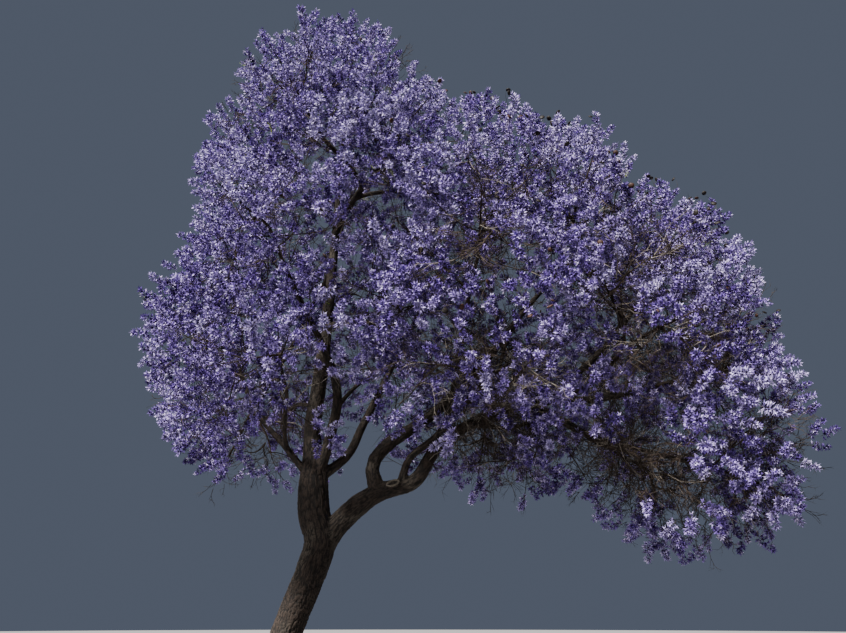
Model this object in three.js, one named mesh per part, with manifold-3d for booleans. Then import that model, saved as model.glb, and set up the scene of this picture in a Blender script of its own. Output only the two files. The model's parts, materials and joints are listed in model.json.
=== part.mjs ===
// A jacaranda tree in full blossom, rooted in level ground.
// Units are millimetres, +Z is up, +X is the side that the trunk leans to, and the origin is the
// centre of the flat cut under the trunk.
//
// The tree is worked out in four steps:
// 1. the crown's outline is the union of a few ellipsoid lobes, and the centres of the foliage masses
//    are spread evenly over a shell inside it;
// 2. the trunk forks into two leaders, and boughs connect every other mass to the nearest clear limb;
// 3. limb radii follow from the number of masses that each limb carries;
// 4. each mass grows twigs by a seeded rule inside its own space, and every twig ends in a panicle.
import * as THREE from "three";
import { mergeVertices } from "three/addons/utils/BufferGeometryUtils.js";
import Module from "manifold-3d";

const wasm = await Module();
wasm.setup();

const point = (x, y, z) => new THREE.Vector3(x, y, z);
const degrees = Math.PI / 180;
const GOLDEN_ANGLE = Math.PI * (3 - Math.sqrt(5));

// Crown outline
const LOBES = [
  { centre: point(1050, -300, 8500), reach: point(2650, 3400, 4300) }, // tall head over the left leader
  { centre: point(3900, -100, 7100), reach: point(3400, 3800, 3750) }, // broad middle over the right leader
  { centre: point(5950, -400, 6150), reach: point(2750, 3300, 3000) }, // right shoulder
  { centre: point(6950, -1000, 4400), reach: point(1950, 2500, 2000) }, // low skirt at the far right
  { centre: point(-200, 100, 6100), reach: point(2150, 3300, 2600) }, // low skirt at the left
];
const MASS_COUNT = 29;
const SHELL_SHARE = 0.64; // how far out in its lobe a mass has its centre
const SHELL_POINTS = 500;
const SKIRT_HEIGHT = 3500;
const HEART = point(1600, 0, 4200); // the open space over the fork, where only limbs show
const HEART_RADIUS = 2300;
const MASS_RADIUS = 1950;
const MASS_JITTER = 160;
const JITTER_SEED = 9; // one of the seeds that leave a clear way to every mass

// Trunk and leaders
const FORK = point(760, 0, 2250);
const TRUNK_KNOTS = [point(0, 0, 0), point(140, 0, 500), point(420, 0, 1350), FORK, point(900, 0, 2620)];
const TRUNK_LEVELS = [0, 0.04, 0.1, 0.2, 0.38, 0.6, 0.8, 1];
const TRUNK_SIDES = 16;
const TRUNK_RADIUS = 236;
const TRUNK_SWELL = 34; // how much the radius grows up to the fork
const FLARE_RADIUS = 190; // added at the ground
const FLARE_HEIGHT = 420;
const ROOT_LOBES = 5;
const ROOT_LOBE_SHARE = 0.13;
const OVAL_SHARE = 0.04;
const LEADERS = [
  {
    name: "leader_left",
    knots: [
      FORK,
      point(900, 0, 2770),
      point(775, 0, 3240),
      point(735, 10, 3900),
      point(670, 60, 4700),
      point(760, 90, 5700),
      point(880, 120, 7600),
    ],
    target: point(900, 150, 11200),
    girth: [[0, 270], [0.19, 272], [0.27, 160], [0.6, 112], [1, 42]], // radii at shares of its length
  },
  {
    name: "leader_right",
    knots: [
      FORK,
      point(1200, 0, 3060),
      point(1850, -20, 3575),
      point(2480, -40, 3770),
      point(2950, -90, 4420),
      point(4300, -250, 5080),
      point(5800, -450, 5150),
    ],
    target: point(7900, -600, 4700),
    girth: [[0, 196], [0.2, 185], [0.3, 138], [0.4, 112], [0.65, 86], [1, 42]],
  },
];
const LEADER_STEPS = 20;
const LEADER_SIDES = 9;
const STUB_STEPS = 3; // steps of each leader that belong to the trunk's fork

// Boughs
const MAIN_BOUGHS = [
  {
    from: 1, // the steep arm off the right leader, with its knee
    at: 0.25,
    via: [point(1790, 40, 4080), point(1970, 80, 4390), point(2960, 160, 5110)],
    target: point(5600, 500, 7400),
    girth: [[0, 130], [0.12, 122], [0.45, 95], [1, 42]],
  },
  {
    from: 1, // the thinner arm beside it
    at: 0.3,
    via: [point(2400, -150, 4150), point(2950, -350, 4640)],
    target: point(4300, -2300, 6500),
    girth: [[0, 72], [0.4, 58], [1, 42]],
  },
  {
    from: 0, // the low arm over the left
    at: 0.2,
    via: [point(280, -60, 4340), point(-260, 0, 4900)],
    target: point(-2000, 300, 5600),
    girth: [[0, 66], [0.4, 52], [1, 42]],
  },
  {
    from: 0, // the arm towards the front
    at: 0.2,
    via: [point(1010, -170, 4440), point(1150, -480, 5250)],
    target: point(1500, -2300, 8000),
    girth: [[0, 112], [0.3, 94], [1, 42]],
  },
  {
    from: 0, // the arm from the left leader over to the right
    at: 0.2,
    via: [point(1300, 190, 4260), point(1570, 400, 4940)],
    target: point(2900, 900, 9300),
    girth: [[0, 90], [0.35, 74], [1, 42]],
  },
];
const MAIN_STEPS = 9;
const BOUGH_STEPS = 5;
const BOUGH_SIDES = 5;
const TIP_RADIUS = 42;
const MOST_OF_PARENT = 0.8; // a bough's foot against its parent there
const FORK_REACH = 0.34; // how far a bough keeps to its parent's direction before it turns
const WIDEST_FORK = 100 * degrees;
const DEPTH_COST = 0.3; // keeps boughs from forking off each other in long chains
const MOST_DEPTH = 3;
const BOUGH_CLEARANCE = 15;
const OWN_STEPS = 2; // steps of a bough that may be close to its own parent
const FIRST_FORK = 0.2; // the share of a limb that stays bare of side boughs
const LAST_FORK = 0.8;
const TIP_GAP = 1000; // how far before a mass's centre its bough ends

// Twigs and panicles
const STEM_REACH = 300; // how far a stem keeps to its bough's direction
const MOST_PANICLES = 17; // in each mass, with the stem's own
const DARTS = 260; // places tried for the panicles of a mass
const PANICLE_SPACING = 480;
const BARE_LEVEL = 0.48; // inside this level of the crown no panicle stands
const PANICLE_LENGTH = 820;
const PANICLE_WIDTH = 656;
const BELLY_SHARE = 0.45; // where along its length a panicle is widest
const SIZE_SPREAD = 0.2;
const PANICLE_FITS = [
  // Tried in turn: size, and how far the panicle leans up and out of the crown.
  { size: 1, lean: 0.5 },
  { size: 0.85, lean: 0.2 },
  { size: 0.7, lean: 0 },
];
const SHORTEST_TWIG = 120;
const STEM_FORKS = [1, 1.5, 2, 2.5]; // where along a stem twigs may leave it, in steps of its path
const TWIG_FORKS = [0.35, 0.7]; // where along a twig others may leave it, as shares of its length
const TWIG_TIP_RADIUS = 12;
const THICKEST_TWIG = 30;
const CELL_MARGIN = 12;
const LIMB_MARGIN = 20;
const ROOM_STEP = 40;
const GAP = 0.3; // between neighbouring solids
const SLIVER = 0.2; // slivers thinner than this, left by a union, are dropped

// Seed pods, hung under the twigs of the masses on the upper right
const POD_SIDE = 3300; // masses with a centre further than this along X bear pods
const POD_HEIGHT = 6000;
const PODS_A_MASS = 2;
const POD_SHARE = 0.6; // where along its twig a pod hangs
const POD_STALK = 70;
const POD_STALK_RADIUS = 8;
const POD_LENGTH = 85;
const POD_WIDTH = 76;

const LILAC = 0x8f80cf;
const BARK = 0x4a3d33;

// Random numbers from 0 to 1 that are the same on every run.
function seeded(seed) {
  let state = seed >>> 0;
  return () => {
    state = (state + 0x6d2b79f5) >>> 0;
    let mixed = Math.imul(state ^ (state >>> 15), 1 | state);
    mixed = (mixed + Math.imul(mixed ^ (mixed >>> 7), 61 | mixed)) ^ mixed;
    return ((mixed ^ (mixed >>> 14)) >>> 0) / 4294967296;
  };
}

// 0 at a lobe's centre, 1 on the crown's outline.
function crownLevel(p) {
  return Math.min(...LOBES.map(({ centre, reach }) => p.clone().sub(centre).divide(reach).length()));
}

// The way out of the crown at a point: square to the lobe that it is deepest in.
function crownNormal(p) {
  const depth = ({ centre, reach }) => p.clone().sub(centre).divide(reach).length();
  const lobe = LOBES.reduce((a, b) => (depth(b) < depth(a) ? b : a));
  return p.clone().sub(lobe.centre).divide(lobe.reach).divide(lobe.reach).normalize();
}

// Even points on a unit sphere.
function spherePoint(i, count) {
  const z = 1 - (2 * i + 1) / count;
  const ring = Math.sqrt(1 - z * z);
  return point(ring * Math.cos(i * GOLDEN_ANGLE), ring * Math.sin(i * GOLDEN_ANGLE), z);
}

// Points picked so that each next one is the furthest from those already picked.
function spreadOut(points, first, count, spacing = 0) {
  const picked = [first];
  const nearest = points.map((p) => p.distanceTo(first));
  while (picked.length < count) {
    const best = nearest.reduce((a, d, i) => (d > nearest[a] ? i : a), 0);
    if (!(nearest[best] > spacing)) break;
    picked.push(points[best]);
    points.forEach((p, i) => (nearest[i] = Math.min(nearest[i], p.distanceTo(points[best]))));
  }
  return picked;
}

// The centres of the masses, from the top of the crown on.
function massCentres() {
  const shell = [];
  for (const { centre, reach } of LOBES) {
    for (let i = 0; i < SHELL_POINTS; i++) {
      const p = spherePoint(i, SHELL_POINTS).multiply(reach).multiplyScalar(SHELL_SHARE).add(centre);
      const outside = crownLevel(p) > SHELL_SHARE - 1e-6;
      if (outside && p.z > SKIRT_HEIGHT && p.distanceTo(HEART) > HEART_RADIUS) shell.push(p);
    }
  }
  const top = shell.reduce((a, b) => (b.z > a.z ? b : a));
  const random = seeded(JITTER_SEED);
  const jitter = () => 2 * MASS_JITTER * (random() - 0.5);
  return spreadOut(shell, top, MASS_COUNT).map((p) => p.clone().add(point(jitter(), jitter(), jitter())));
}

// Distance between the segments a-b and c-d.
function segmentDistance(a, b, c, d) {
  const u = b.clone().sub(a);
  const v = d.clone().sub(c);
  const w = a.clone().sub(c);
  const uu = u.dot(u);
  const uv = u.dot(v);
  const vv = v.dot(v);
  const uw = u.dot(w);
  const vw = v.dot(w);
  const spread = uu * vv - uv * uv;
  let s = spread > 1e-9 ? THREE.MathUtils.clamp((uv * vw - vv * uw) / spread, 0, 1) : 0;
  const t = THREE.MathUtils.clamp((uv * s + vw) / vv, 0, 1);
  s = THREE.MathUtils.clamp((uv * t - uw) / uu, 0, 1);
  return w.addScaledVector(u, s).addScaledVector(v, -t).length();
}

// True if a capsule from a to b is clear of a limb.
function clearOfLimb(a, b, radius, limb) {
  for (let i = 0; i < limb.path.length - 1; i++) {
    const thick = Math.max(limb.radii[i], limb.radii[i + 1]);
    if (segmentDistance(a, b, limb.path[i], limb.path[i + 1]) < radius + thick) return false;
  }
  return true;
}

// The stem of a mass: on from its bough, through the centre, and out towards the crown's outline.
function stemOf(limb) {
  const last = limb.path.length - 1;
  const way = tangentAt(limb.path, last);
  const centre = centres[limb.mass];
  const start = limb.path[last].clone().addScaledVector(way, GAP);
  const elbow = start.clone().addScaledVector(way, STEM_REACH);
  const outward = centre.clone().sub(elbow).normalize().add(crownNormal(centre)).normalize();
  const room = roomAlong(limb.mass, centre, outward) - 0.9 * PANICLE_LENGTH;
  const end = centre.clone().addScaledVector(outward, Math.max(room, SHORTEST_TWIG));
  return [start, elbow, centre.clone(), end];
}

// A limb's path carried on by the stem of its mass.
function withStem(limb) {
  const stem = stemOf(limb).slice(1);
  return { path: [...limb.path, ...stem], radii: [...limb.radii, ...stem.map(() => TIP_RADIUS)] };
}

// The tangent of a path at one of its points.
function tangentAt(path, i) {
  const ahead = path[Math.min(i + 1, path.length - 1)];
  const behind = path[Math.max(i - 1, 0)];
  return ahead.clone().sub(behind).normalize();
}

// Where a bough into a mass ends, coming from a point.
function tipBefore(centre, from) {
  const way = centre.clone().sub(from).normalize();
  return centre.clone().addScaledVector(way, -TIP_GAP);
}

function nearestFree(target, taken) {
  let best = -1;
  centres.forEach((c, i) => {
    if (taken.has(i)) return;
    if (best < 0 || c.distanceTo(target) < centres[best].distanceTo(target)) best = i;
  });
  taken.add(best);
  return best;
}

// The value at a share of the way along, from pairs of a share and its value.
function valueAlong(pairs, share) {
  const next = Math.max(1, pairs.findIndex(([at]) => at >= share));
  const [[before, from], [after, to]] = [pairs[next - 1], pairs[next]];
  return THREE.MathUtils.lerp(from, to, (share - before) / (after - before));
}

function makeLeader({ name, knots, target, girth }, taken) {
  const mass = nearestFree(target, taken);
  const tip = tipBefore(centres[mass], knots[knots.length - 1]);
  const curve = new THREE.CatmullRomCurve3([...knots, tip], false, "centripetal");
  const path = curve.getSpacedPoints(LEADER_STEPS);
  const radii = path.map((_, i) => valueAlong(girth, i / LEADER_STEPS));
  return { name, path, radii, mass, parent: -1, at: 0, depth: 0, first: STUB_STEPS };
}

// A main bough off a leader, through its own knots, to the mass nearest to its target.
function makeMainBough({ from, at, via, target, girth }, leaders, taken) {
  const mass = nearestFree(target, taken);
  const step = Math.round(at * LEADER_STEPS);
  const tip = tipBefore(centres[mass], via[via.length - 1]);
  const knots = [leaders[from].path[step], ...via, tip];
  const path = new THREE.CatmullRomCurve3(knots, false, "centripetal").getSpacedPoints(MAIN_STEPS);
  const radii = path.map((_, i) => valueAlong(girth, i / MAIN_STEPS));
  return { path, radii, girth, mass, parent: from, at: step, depth: 1, first: 0 };
}

// A bough from step s of a limb to a mass: it leaves along its parent and bends over to the mass.
function makeBough(parent, limb, s, mass) {
  const foot = limb.path[s];
  const tip = tipBefore(centres[mass], foot);
  const along = tangentAt(limb.path, s);
  const away = tip.clone().sub(foot);
  const halfway = foot.clone().lerp(tip, 0.5);
  const elbow = foot.clone().addScaledVector(along, FORK_REACH * away.length()).lerp(halfway, 0.4);
  const path = new THREE.QuadraticBezierCurve3(foot, elbow, tip).getSpacedPoints(BOUGH_STEPS);
  const angle = along.angleTo(away);
  const depth = limb.depth + 1;
  const cost = away.length() * (1.6 - 0.6 * Math.cos(angle)) * (1 + DEPTH_COST * depth);
  return { path, radii: path.map(() => 1.5 * TIP_RADIUS), mass, parent, at: s, angle, depth, cost, first: 0 };
}

// True if a bough with its stem keeps clear of every limb and stem, apart from its own fork.
function boughIsClear(bough, limbs) {
  const { path, radii } = withStem(bough);
  return limbs.every((limb, index) => {
    const own = index === bough.parent;
    const first = own ? OWN_STEPS : 1;
    const margin = own ? 0 : BOUGH_CLEARANCE;
    const other = withStem(limb);
    return path.every((p, i) => i < first || clearOfLimb(path[i - 1], p, radii[i] + margin, other));
  });
}

// The cheapest clear bough from any limb to any mass that has none.
function nextBough(limbs, taken) {
  let best = null;
  limbs.forEach((limb, parent) => {
    if (limb.depth >= MOST_DEPTH) return;
    const last = limb.path.length - 1;
    for (let s = Math.ceil(FIRST_FORK * last); s <= LAST_FORK * last; s++) {
      for (let mass = 0; mass < centres.length; mass++) {
        if (taken.has(mass)) continue;
        const bough = makeBough(parent, limb, s, mass);
        const better = !best || bough.cost < best.cost;
        if (better && bough.angle < WIDEST_FORK && boughIsClear(bough, limbs)) best = bough;
      }
    }
  });
  return best;
}

// The leaders and boughs, each with its path, its radii and the mass that it ends in.
function growLimbs() {
  const taken = new Set();
  const leaders = LEADERS.map((leader) => makeLeader(leader, taken));
  const limbs = [...leaders, ...MAIN_BOUGHS.map((bough) => makeMainBough(bough, leaders, taken))];
  while (taken.size < centres.length) {
    const bough = nextBough(limbs, taken);
    if (!bough) throw new Error(`no clear way to ${centres.length - taken.size} masses`);
    taken.add(bough.mass);
    limbs.push(bough);
  }
  return limbs;
}

// Radii of side boughs by load: the section of the tips that a bough carries on from each step.
function thicken(limbs) {
  const load = limbs.map(() => 1);
  for (let i = limbs.length - 1; i >= 0; i--) if (limbs[i].parent >= 0) load[limbs[i].parent] += load[i];
  limbs.forEach((limb, i) => {
    if (limb.parent < 0 || limb.girth) return;
    const last = limb.path.length - 1;
    const children = limbs.map((child, j) => ({ at: child.at, load: child.parent === i ? load[j] : 0 }));
    const carried = (k) => children.reduce((sum, child) => sum + (child.at >= k - 1 ? child.load : 0), 1);
    const full = limb.path.map((_, k) => TIP_RADIUS * Math.sqrt(carried(k)));
    full[0] = Math.min(full[0] * 1.15, MOST_OF_PARENT * limbs[limb.parent].radii[limb.at]);
    for (let k = 1; k <= last; k++) full[k] = Math.min(full[k], full[k - 1]);
    limb.radii = full.map((r, k) => (r + full[Math.max(k - 1, 0)] + full[Math.min(k + 1, last)]) / 3);
    limb.radii[last] = Math.min(TIP_RADIUS, limb.radii[last]);
  });
}

// A closed solid through rings of points in order. The first or last ring may be a single point.
function loftRings(rings) {
  const vertices = rings.flat();
  const faces = [];
  let base = 0;
  rings.slice(0, -1).forEach((ring, k) => {
    const next = base + ring.length;
    const sides = Math.max(ring.length, rings[k + 1].length);
    for (let i = 0; i < sides; i++) {
      const j = (i + 1) % sides;
      if (rings[k + 1].length === 1) faces.push(base + i, base + j, next);
      else if (ring.length === 1) faces.push(base, next + j, next + i);
      else faces.push(base + i, base + j, next + j, base + i, next + j, next + i);
    }
    base = next;
  });
  for (let i = 1; i < rings[0].length - 1; i++) faces.push(0, i + 1, i);
  for (let i = 1; i < rings[rings.length - 1].length - 1; i++) faces.push(base, base + i, base + i + 1);
  return solidFrom(vertices, faces);
}

function solidFrom(vertices, faces) {
  const geometry = new THREE.BufferGeometry().setFromPoints(vertices).setIndex(faces);
  const merged = mergeVertices(geometry, 1e-3);
  return new wasm.Manifold(
    new wasm.Mesh({
      numProp: 3,
      vertProperties: merged.attributes.position.array,
      triVerts: new Uint32Array(merged.index.array),
    }),
  );
}

// Rings round a path, square to it, that don't twist.
function ringsAlong(path, radiusAt, sides) {
  const rings = [];
  let side = null;
  path.forEach((p, k) => {
    const along = tangentAt(path, k);
    const hint = side || (Math.abs(along.z) > 0.9 ? point(1, 0, 0) : point(0, 0, 1));
    side = hint.clone().addScaledVector(along, -hint.dot(along)).normalize();
    const up = along.clone().cross(side);
    const ring = [];
    for (let i = 0; i < sides; i++) {
      const turn = (2 * Math.PI * i) / sides;
      const r = radiusAt(k, turn);
      ring.push(p.clone().addScaledVector(side, r * Math.cos(turn)).addScaledVector(up, r * Math.sin(turn)));
    }
    rings.push(ring);
  });
  return rings;
}

// A limb from its step first to its step last. Grown by GAP it is the cut that its side boughs get.
function limbSolid(limb, first, last, grow = 0) {
  const sides = limb.parent < 0 ? LEADER_SIDES : BOUGH_SIDES;
  const rings = ringsAlong(limb.path, (k) => limb.radii[k] + grow / Math.cos(Math.PI / sides), sides);
  const used = rings.slice(first, last + 1);
  const shift = (ring, k, by) => ring.map((p) => p.clone().addScaledVector(tangentAt(limb.path, k), by));
  if (grow) {
    used[0] = shift(used[0], first, -grow);
    used[used.length - 1] = shift(used[used.length - 1], last, grow);
  } else if (first > 0) {
    used[0] = shift(used[0], first, GAP);
  }
  return loftRings(used);
}

// The trunk: a leaning, flared tube with root lobes, and the two stubs of its fork.
function trunkSolid(limbs) {
  const curve = new THREE.CatmullRomCurve3(TRUNK_KNOTS, false, "centripetal");
  const rings = TRUNK_LEVELS.map((level) => {
    const p = curve.getPointAt(level);
    const flare = Math.exp(-p.z / FLARE_HEIGHT);
    const ring = [];
    for (let i = 0; i < TRUNK_SIDES; i++) {
      const turn = (2 * Math.PI * i) / TRUNK_SIDES;
      const buttress = ROOT_LOBE_SHARE * flare * Math.cos(ROOT_LOBES * turn + 0.6);
      const oval = OVAL_SHARE * Math.cos(2 * turn);
      const r = (TRUNK_RADIUS + TRUNK_SWELL * level + FLARE_RADIUS * flare) * (1 + buttress + oval);
      ring.push(point(p.x + r * Math.cos(turn), p.y + r * Math.sin(turn), p.z));
    }
    return ring;
  });
  const stubs = limbs.filter((limb) => limb.parent < 0).map((limb) => limbSolid(limb, 0, STUB_STEPS));
  return wasm.Manifold.union([loftRings(rings), ...stubs]);
}

// True if a convex piece with these corners keeps to its mass's space.
function keepsToSpace(mass, corners) {
  const own = centres[mass];
  return corners.every((p) => {
    const reach = p.distanceTo(own);
    if (reach > MASS_RADIUS || crownLevel(p) > 1) return false;
    return centres.every((other, i) => {
      if (i === mass) return true;
      const across = other.distanceTo(own);
      const share = p.clone().sub(own).dot(other.clone().sub(own)) / across;
      return share < across / 2 - CELL_MARGIN;
    });
  });
}

function clearOfLimbs(a, b, radius) {
  return limbs.every((limb) => clearOfLimb(a, b, radius + LIMB_MARGIN, limb));
}

// How far a mass's space goes from a point in a direction.
function roomAlong(mass, from, way) {
  let reach = 0;
  const fits = (r) => keepsToSpace(mass, [from.clone().addScaledVector(way, r)]);
  while (reach < 2 * MASS_RADIUS && fits(reach + ROOM_STEP)) reach += ROOM_STEP;
  return reach;
}

function unitVector(random) {
  const z = 2 * random() - 1;
  const turn = 2 * Math.PI * random();
  const ring = Math.sqrt(1 - z * z);
  return point(ring * Math.cos(turn), ring * Math.sin(turn), z);
}

// The rings of a three-sided twig with a panicle or pod on its end: twig, belly and point.
function sprayRings(path, r0, r1, way, length, width) {
  const last = path.length - 1;
  const rings = ringsAlong(path, (k) => THREE.MathUtils.lerp(r0, r1, k / last), 3);
  const neck = path[last];
  const belly = rings[last].map((p) => {
    const out = p.clone().sub(neck);
    out.addScaledVector(way, -out.dot(way)).setLength(width / 2);
    return out.add(neck).addScaledVector(way, BELLY_SHARE * length);
  });
  return [...rings, belly, [neck.clone().addScaledVector(way, length)]];
}

// True if a ball at a place keeps to its mass's space, and clear of limbs and of the mass's stem.
function placeIsOpen(mass, place, radius, stem) {
  const poles = [point(1, 0, 0), point(0, 1, 0), point(0, 0, 1)];
  const around = poles.flatMap((pole) => [
    place.clone().addScaledVector(pole, radius),
    place.clone().addScaledVector(pole, -radius),
  ]);
  const above = place.clone().add(point(0, 0, 1));
  const offStem = stem.every((q, k) => k === 0 || segmentDistance(stem[k - 1], q, place, above) > radius);
  return offStem && keepsToSpace(mass, around) && clearOfLimbs(place, above, radius);
}

// Well-spread places for the middles of a mass's panicles, the nearest to its centre first.
function paniclePlaces(mass, stem, random) {
  const centre = centres[mass];
  const places = [];
  for (let i = 0; i < DARTS; i++) {
    const place = unitVector(random).multiplyScalar(MASS_RADIUS * Math.cbrt(random())).add(centre);
    const outer = crownLevel(place) > BARE_LEVEL;
    if (outer && placeIsOpen(mass, place, 0.4 * PANICLE_WIDTH, stem)) places.push(place);
  }
  const last = stem.length - 1;
  const own = stem[last].clone().addScaledVector(tangentAt(stem, last), BELLY_SHARE * PANICLE_LENGTH);
  const chosen = spreadOut(places, own, MOST_PANICLES, PANICLE_SPACING).slice(1);
  return chosen.sort((a, b) => a.distanceTo(centre) - b.distanceTo(centre));
}

// A mass as twigs: the stem first, then a twig to each panicle's place from the cheapest clear fork.
function growMass(limb) {
  const { mass } = limb;
  const random = seeded(101 + mass);
  const stem = stemOf(limb);
  const twigs = [{ path: stem, way: tangentAt(stem, stem.length - 1), size: 1, parent: -1, load: 1 }];
  const forks = STEM_FORKS.map((t) => {
    const k = Math.floor(t);
    return { at: stem[k].clone().lerp(stem[k + 1], t - k), way: tangentAt(stem, k), twig: 0 };
  });
  for (const place of paniclePlaces(mass, stem, random)) {
    const grade = 1 + SIZE_SPREAD * (random() - 0.5);
    let best = null;
    for (const { size, lean } of PANICLE_FITS) {
      best = best || cheapestTwig(mass, place, forks, twigs, size * grade, lean);
    }
    if (!best) continue;
    for (let t = best.parent; t >= 0; t = twigs[t].parent) twigs[t].load += 1;
    twigs.push(best);
    const [from, neck] = best.path;
    const way = neck.clone().sub(from).normalize();
    for (const share of TWIG_FORKS) {
      forks.push({ at: from.clone().lerp(neck, share), way, twig: twigs.length - 1 });
    }
  }
  return twigs;
}

// The cheapest clear twig from any fork to a place, or null.
function cheapestTwig(mass, place, forks, twigs, size, lean) {
  let best = null;
  for (const fork of forks) {
    const away = place.clone().sub(fork.at);
    const angle = fork.way.angleTo(away);
    const cost = away.length() * (1.5 - 0.5 * Math.cos(angle));
    if (angle > WIDEST_FORK || (best && cost >= best.cost)) continue;
    const twig = twigTo(place, fork, size, lean);
    if (twigFits(mass, twig, twigs)) best = { ...twig, cost };
  }
  return best;
}

// A twig from a fork to a panicle whose middle is at a place.
function twigTo(place, fork, size, lean) {
  const way = place.clone().sub(fork.at).normalize();
  way.addScaledVector(crownNormal(place), lean).add(point(0, 0, lean / 2)).normalize();
  const neck = place.clone().addScaledVector(way, -BELLY_SHARE * PANICLE_LENGTH * size);
  return { path: [fork.at, neck], way, size, parent: fork.twig, load: 1 };
}

// True if a twig and its panicle keep to their space, and clear of limbs and of the mass's other twigs.
function twigFits(mass, { path, way, size, parent }, twigs) {
  const [from, neck] = path;
  if (from.distanceTo(neck) < SHORTEST_TWIG) return false;
  const length = PANICLE_LENGTH * size;
  const width = PANICLE_WIDTH * size;
  const rings = sprayRings(path, THICKEST_TWIG, TWIG_TIP_RADIUS, way, length, width);
  if (!keepsToSpace(mass, rings.flat())) return false;
  const belly = neck.clone().addScaledVector(way, BELLY_SHARE * length);
  const end = neck.clone().addScaledVector(way, length);
  if (!clearOfLimbs(from, neck, THICKEST_TWIG)) return false;
  if (!clearOfLimbs(neck, belly, 0.35 * width)) return false;
  if (!clearOfLimbs(belly, end, 0.5 * width)) return false;
  return twigs.every((other, i) => {
    const [foot, neckOfOther] = other.path.slice(-2);
    const endOfOther = neckOfOther.clone().addScaledVector(other.way, PANICLE_LENGTH * other.size);
    const offPanicle = segmentDistance(from, neck, neckOfOther, endOfOther) > 0.25 * PANICLE_WIDTH;
    return offPanicle && (i === parent || segmentDistance(belly, end, foot, neckOfOther) > 0.3 * width);
  });
}

// The rings of the pods under some twigs of a mass.
function podRings(mass, twigs) {
  if (centres[mass].x < POD_SIDE || centres[mass].z < POD_HEIGHT) return [];
  const down = point(0, 0, -1);
  const pods = twigs.slice(1).map(({ path }) => {
    const from = path[0].clone().lerp(path[1], POD_SHARE);
    const stalk = [from, from.clone().addScaledVector(down, POD_STALK)];
    return sprayRings(stalk, POD_STALK_RADIUS, POD_STALK_RADIUS, down, POD_LENGTH, POD_WIDTH);
  });
  const fits = ([foot, , , [end]]) => clearOfLimbs(foot[0], end, POD_WIDTH / 2);
  return pods.filter((rings) => keepsToSpace(mass, rings.flat()) && fits(rings)).slice(-PODS_A_MASS);
}

// The rings of a twig with its panicle. A side twig starts as a point inside the twig that it leaves.
function twigRings({ path, way, size, parent, load }) {
  const length = PANICLE_LENGTH * size;
  const width = PANICLE_WIDTH * size;
  if (parent < 0) return sprayRings(path, TIP_RADIUS, TWIG_TIP_RADIUS, way, length, width);
  const [from, neck] = path;
  const foot = Math.min(TWIG_TIP_RADIUS * Math.sqrt(load), THICKEST_TWIG);
  const along = neck.clone().sub(from).normalize();
  const out = from.clone().addScaledVector(along, 2.5 * foot);
  const root = from.clone().addScaledVector(along, -0.3 * foot);
  return [[root], ...sprayRings([out, neck], foot, TWIG_TIP_RADIUS, way, length, width)];
}

function massSolid(limb) {
  const twigs = growMass(limb);
  const pieces = [...twigs.map(twigRings), ...podRings(limb.mass, twigs)].map(loftRings);
  return wasm.Manifold.union(pieces).asOriginal().simplify(SLIVER);
}

const centres = massCentres();
const limbs = growLimbs();
thicken(limbs);

const bark = new THREE.MeshStandardMaterial({ color: BARK, roughness: 0.9, metalness: 0 });
const blossom = new THREE.MeshStandardMaterial({ color: LILAC, roughness: 0.7, metalness: 0 });

// A solid as a named mesh: its largest body only, because a cut can leave a scrap.
function addMesh(group, name, solid, material) {
  const body = solid.decompose().reduce((a, b) => (b.volume() > a.volume() ? b : a));
  const { vertProperties, triVerts } = body.getMesh();
  const geometry = new THREE.BufferGeometry();
  geometry.setAttribute("position", new THREE.BufferAttribute(vertProperties, 3));
  geometry.setIndex(new THREE.BufferAttribute(triVerts, 1));
  const mesh = new THREE.Mesh(geometry, material);
  mesh.name = name;
  group.add(mesh);
}

const numbered = (word, number) => `${word}_${String(number).padStart(2, "0")}`;
const tree = new THREE.Group();
addMesh(tree, "trunk", trunkSolid(limbs), bark);
limbs.forEach((limb, i) => {
  let solid = limbSolid(limb, limb.first, limb.path.length - 1);
  if (limb.parent >= 0) {
    const parent = limbs[limb.parent];
    solid = solid.subtract(limbSolid(parent, parent.first, parent.path.length - 1, GAP));
  }
  addMesh(tree, limb.name || numbered("bough", i - LEADERS.length + 1), solid, bark);
});
limbs.forEach((limb, i) => addMesh(tree, numbered("mass", i + 1), massSolid(limb), blossom));

export default tree;
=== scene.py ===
"""A jacaranda tree in full blossom, grown on from the limbs of its CAD model.

The first half of the script is the growth rule of the model's source, in millimetres: the crown's
lobes, the foliage masses inside it, the limbs that reach them and the twigs of each mass. The second
half, in metres, dresses that growth: bark over the trunk and limbs, finer twigs, panicles of
flowers, seed pods and a few young fronds.
"""

import functools
import json
import math
from dataclasses import dataclass
from heapq import heappop, heappush

import bmesh
import bpy
import numpy as np
from mathutils import Matrix, Vector, kdtree, noise

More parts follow.
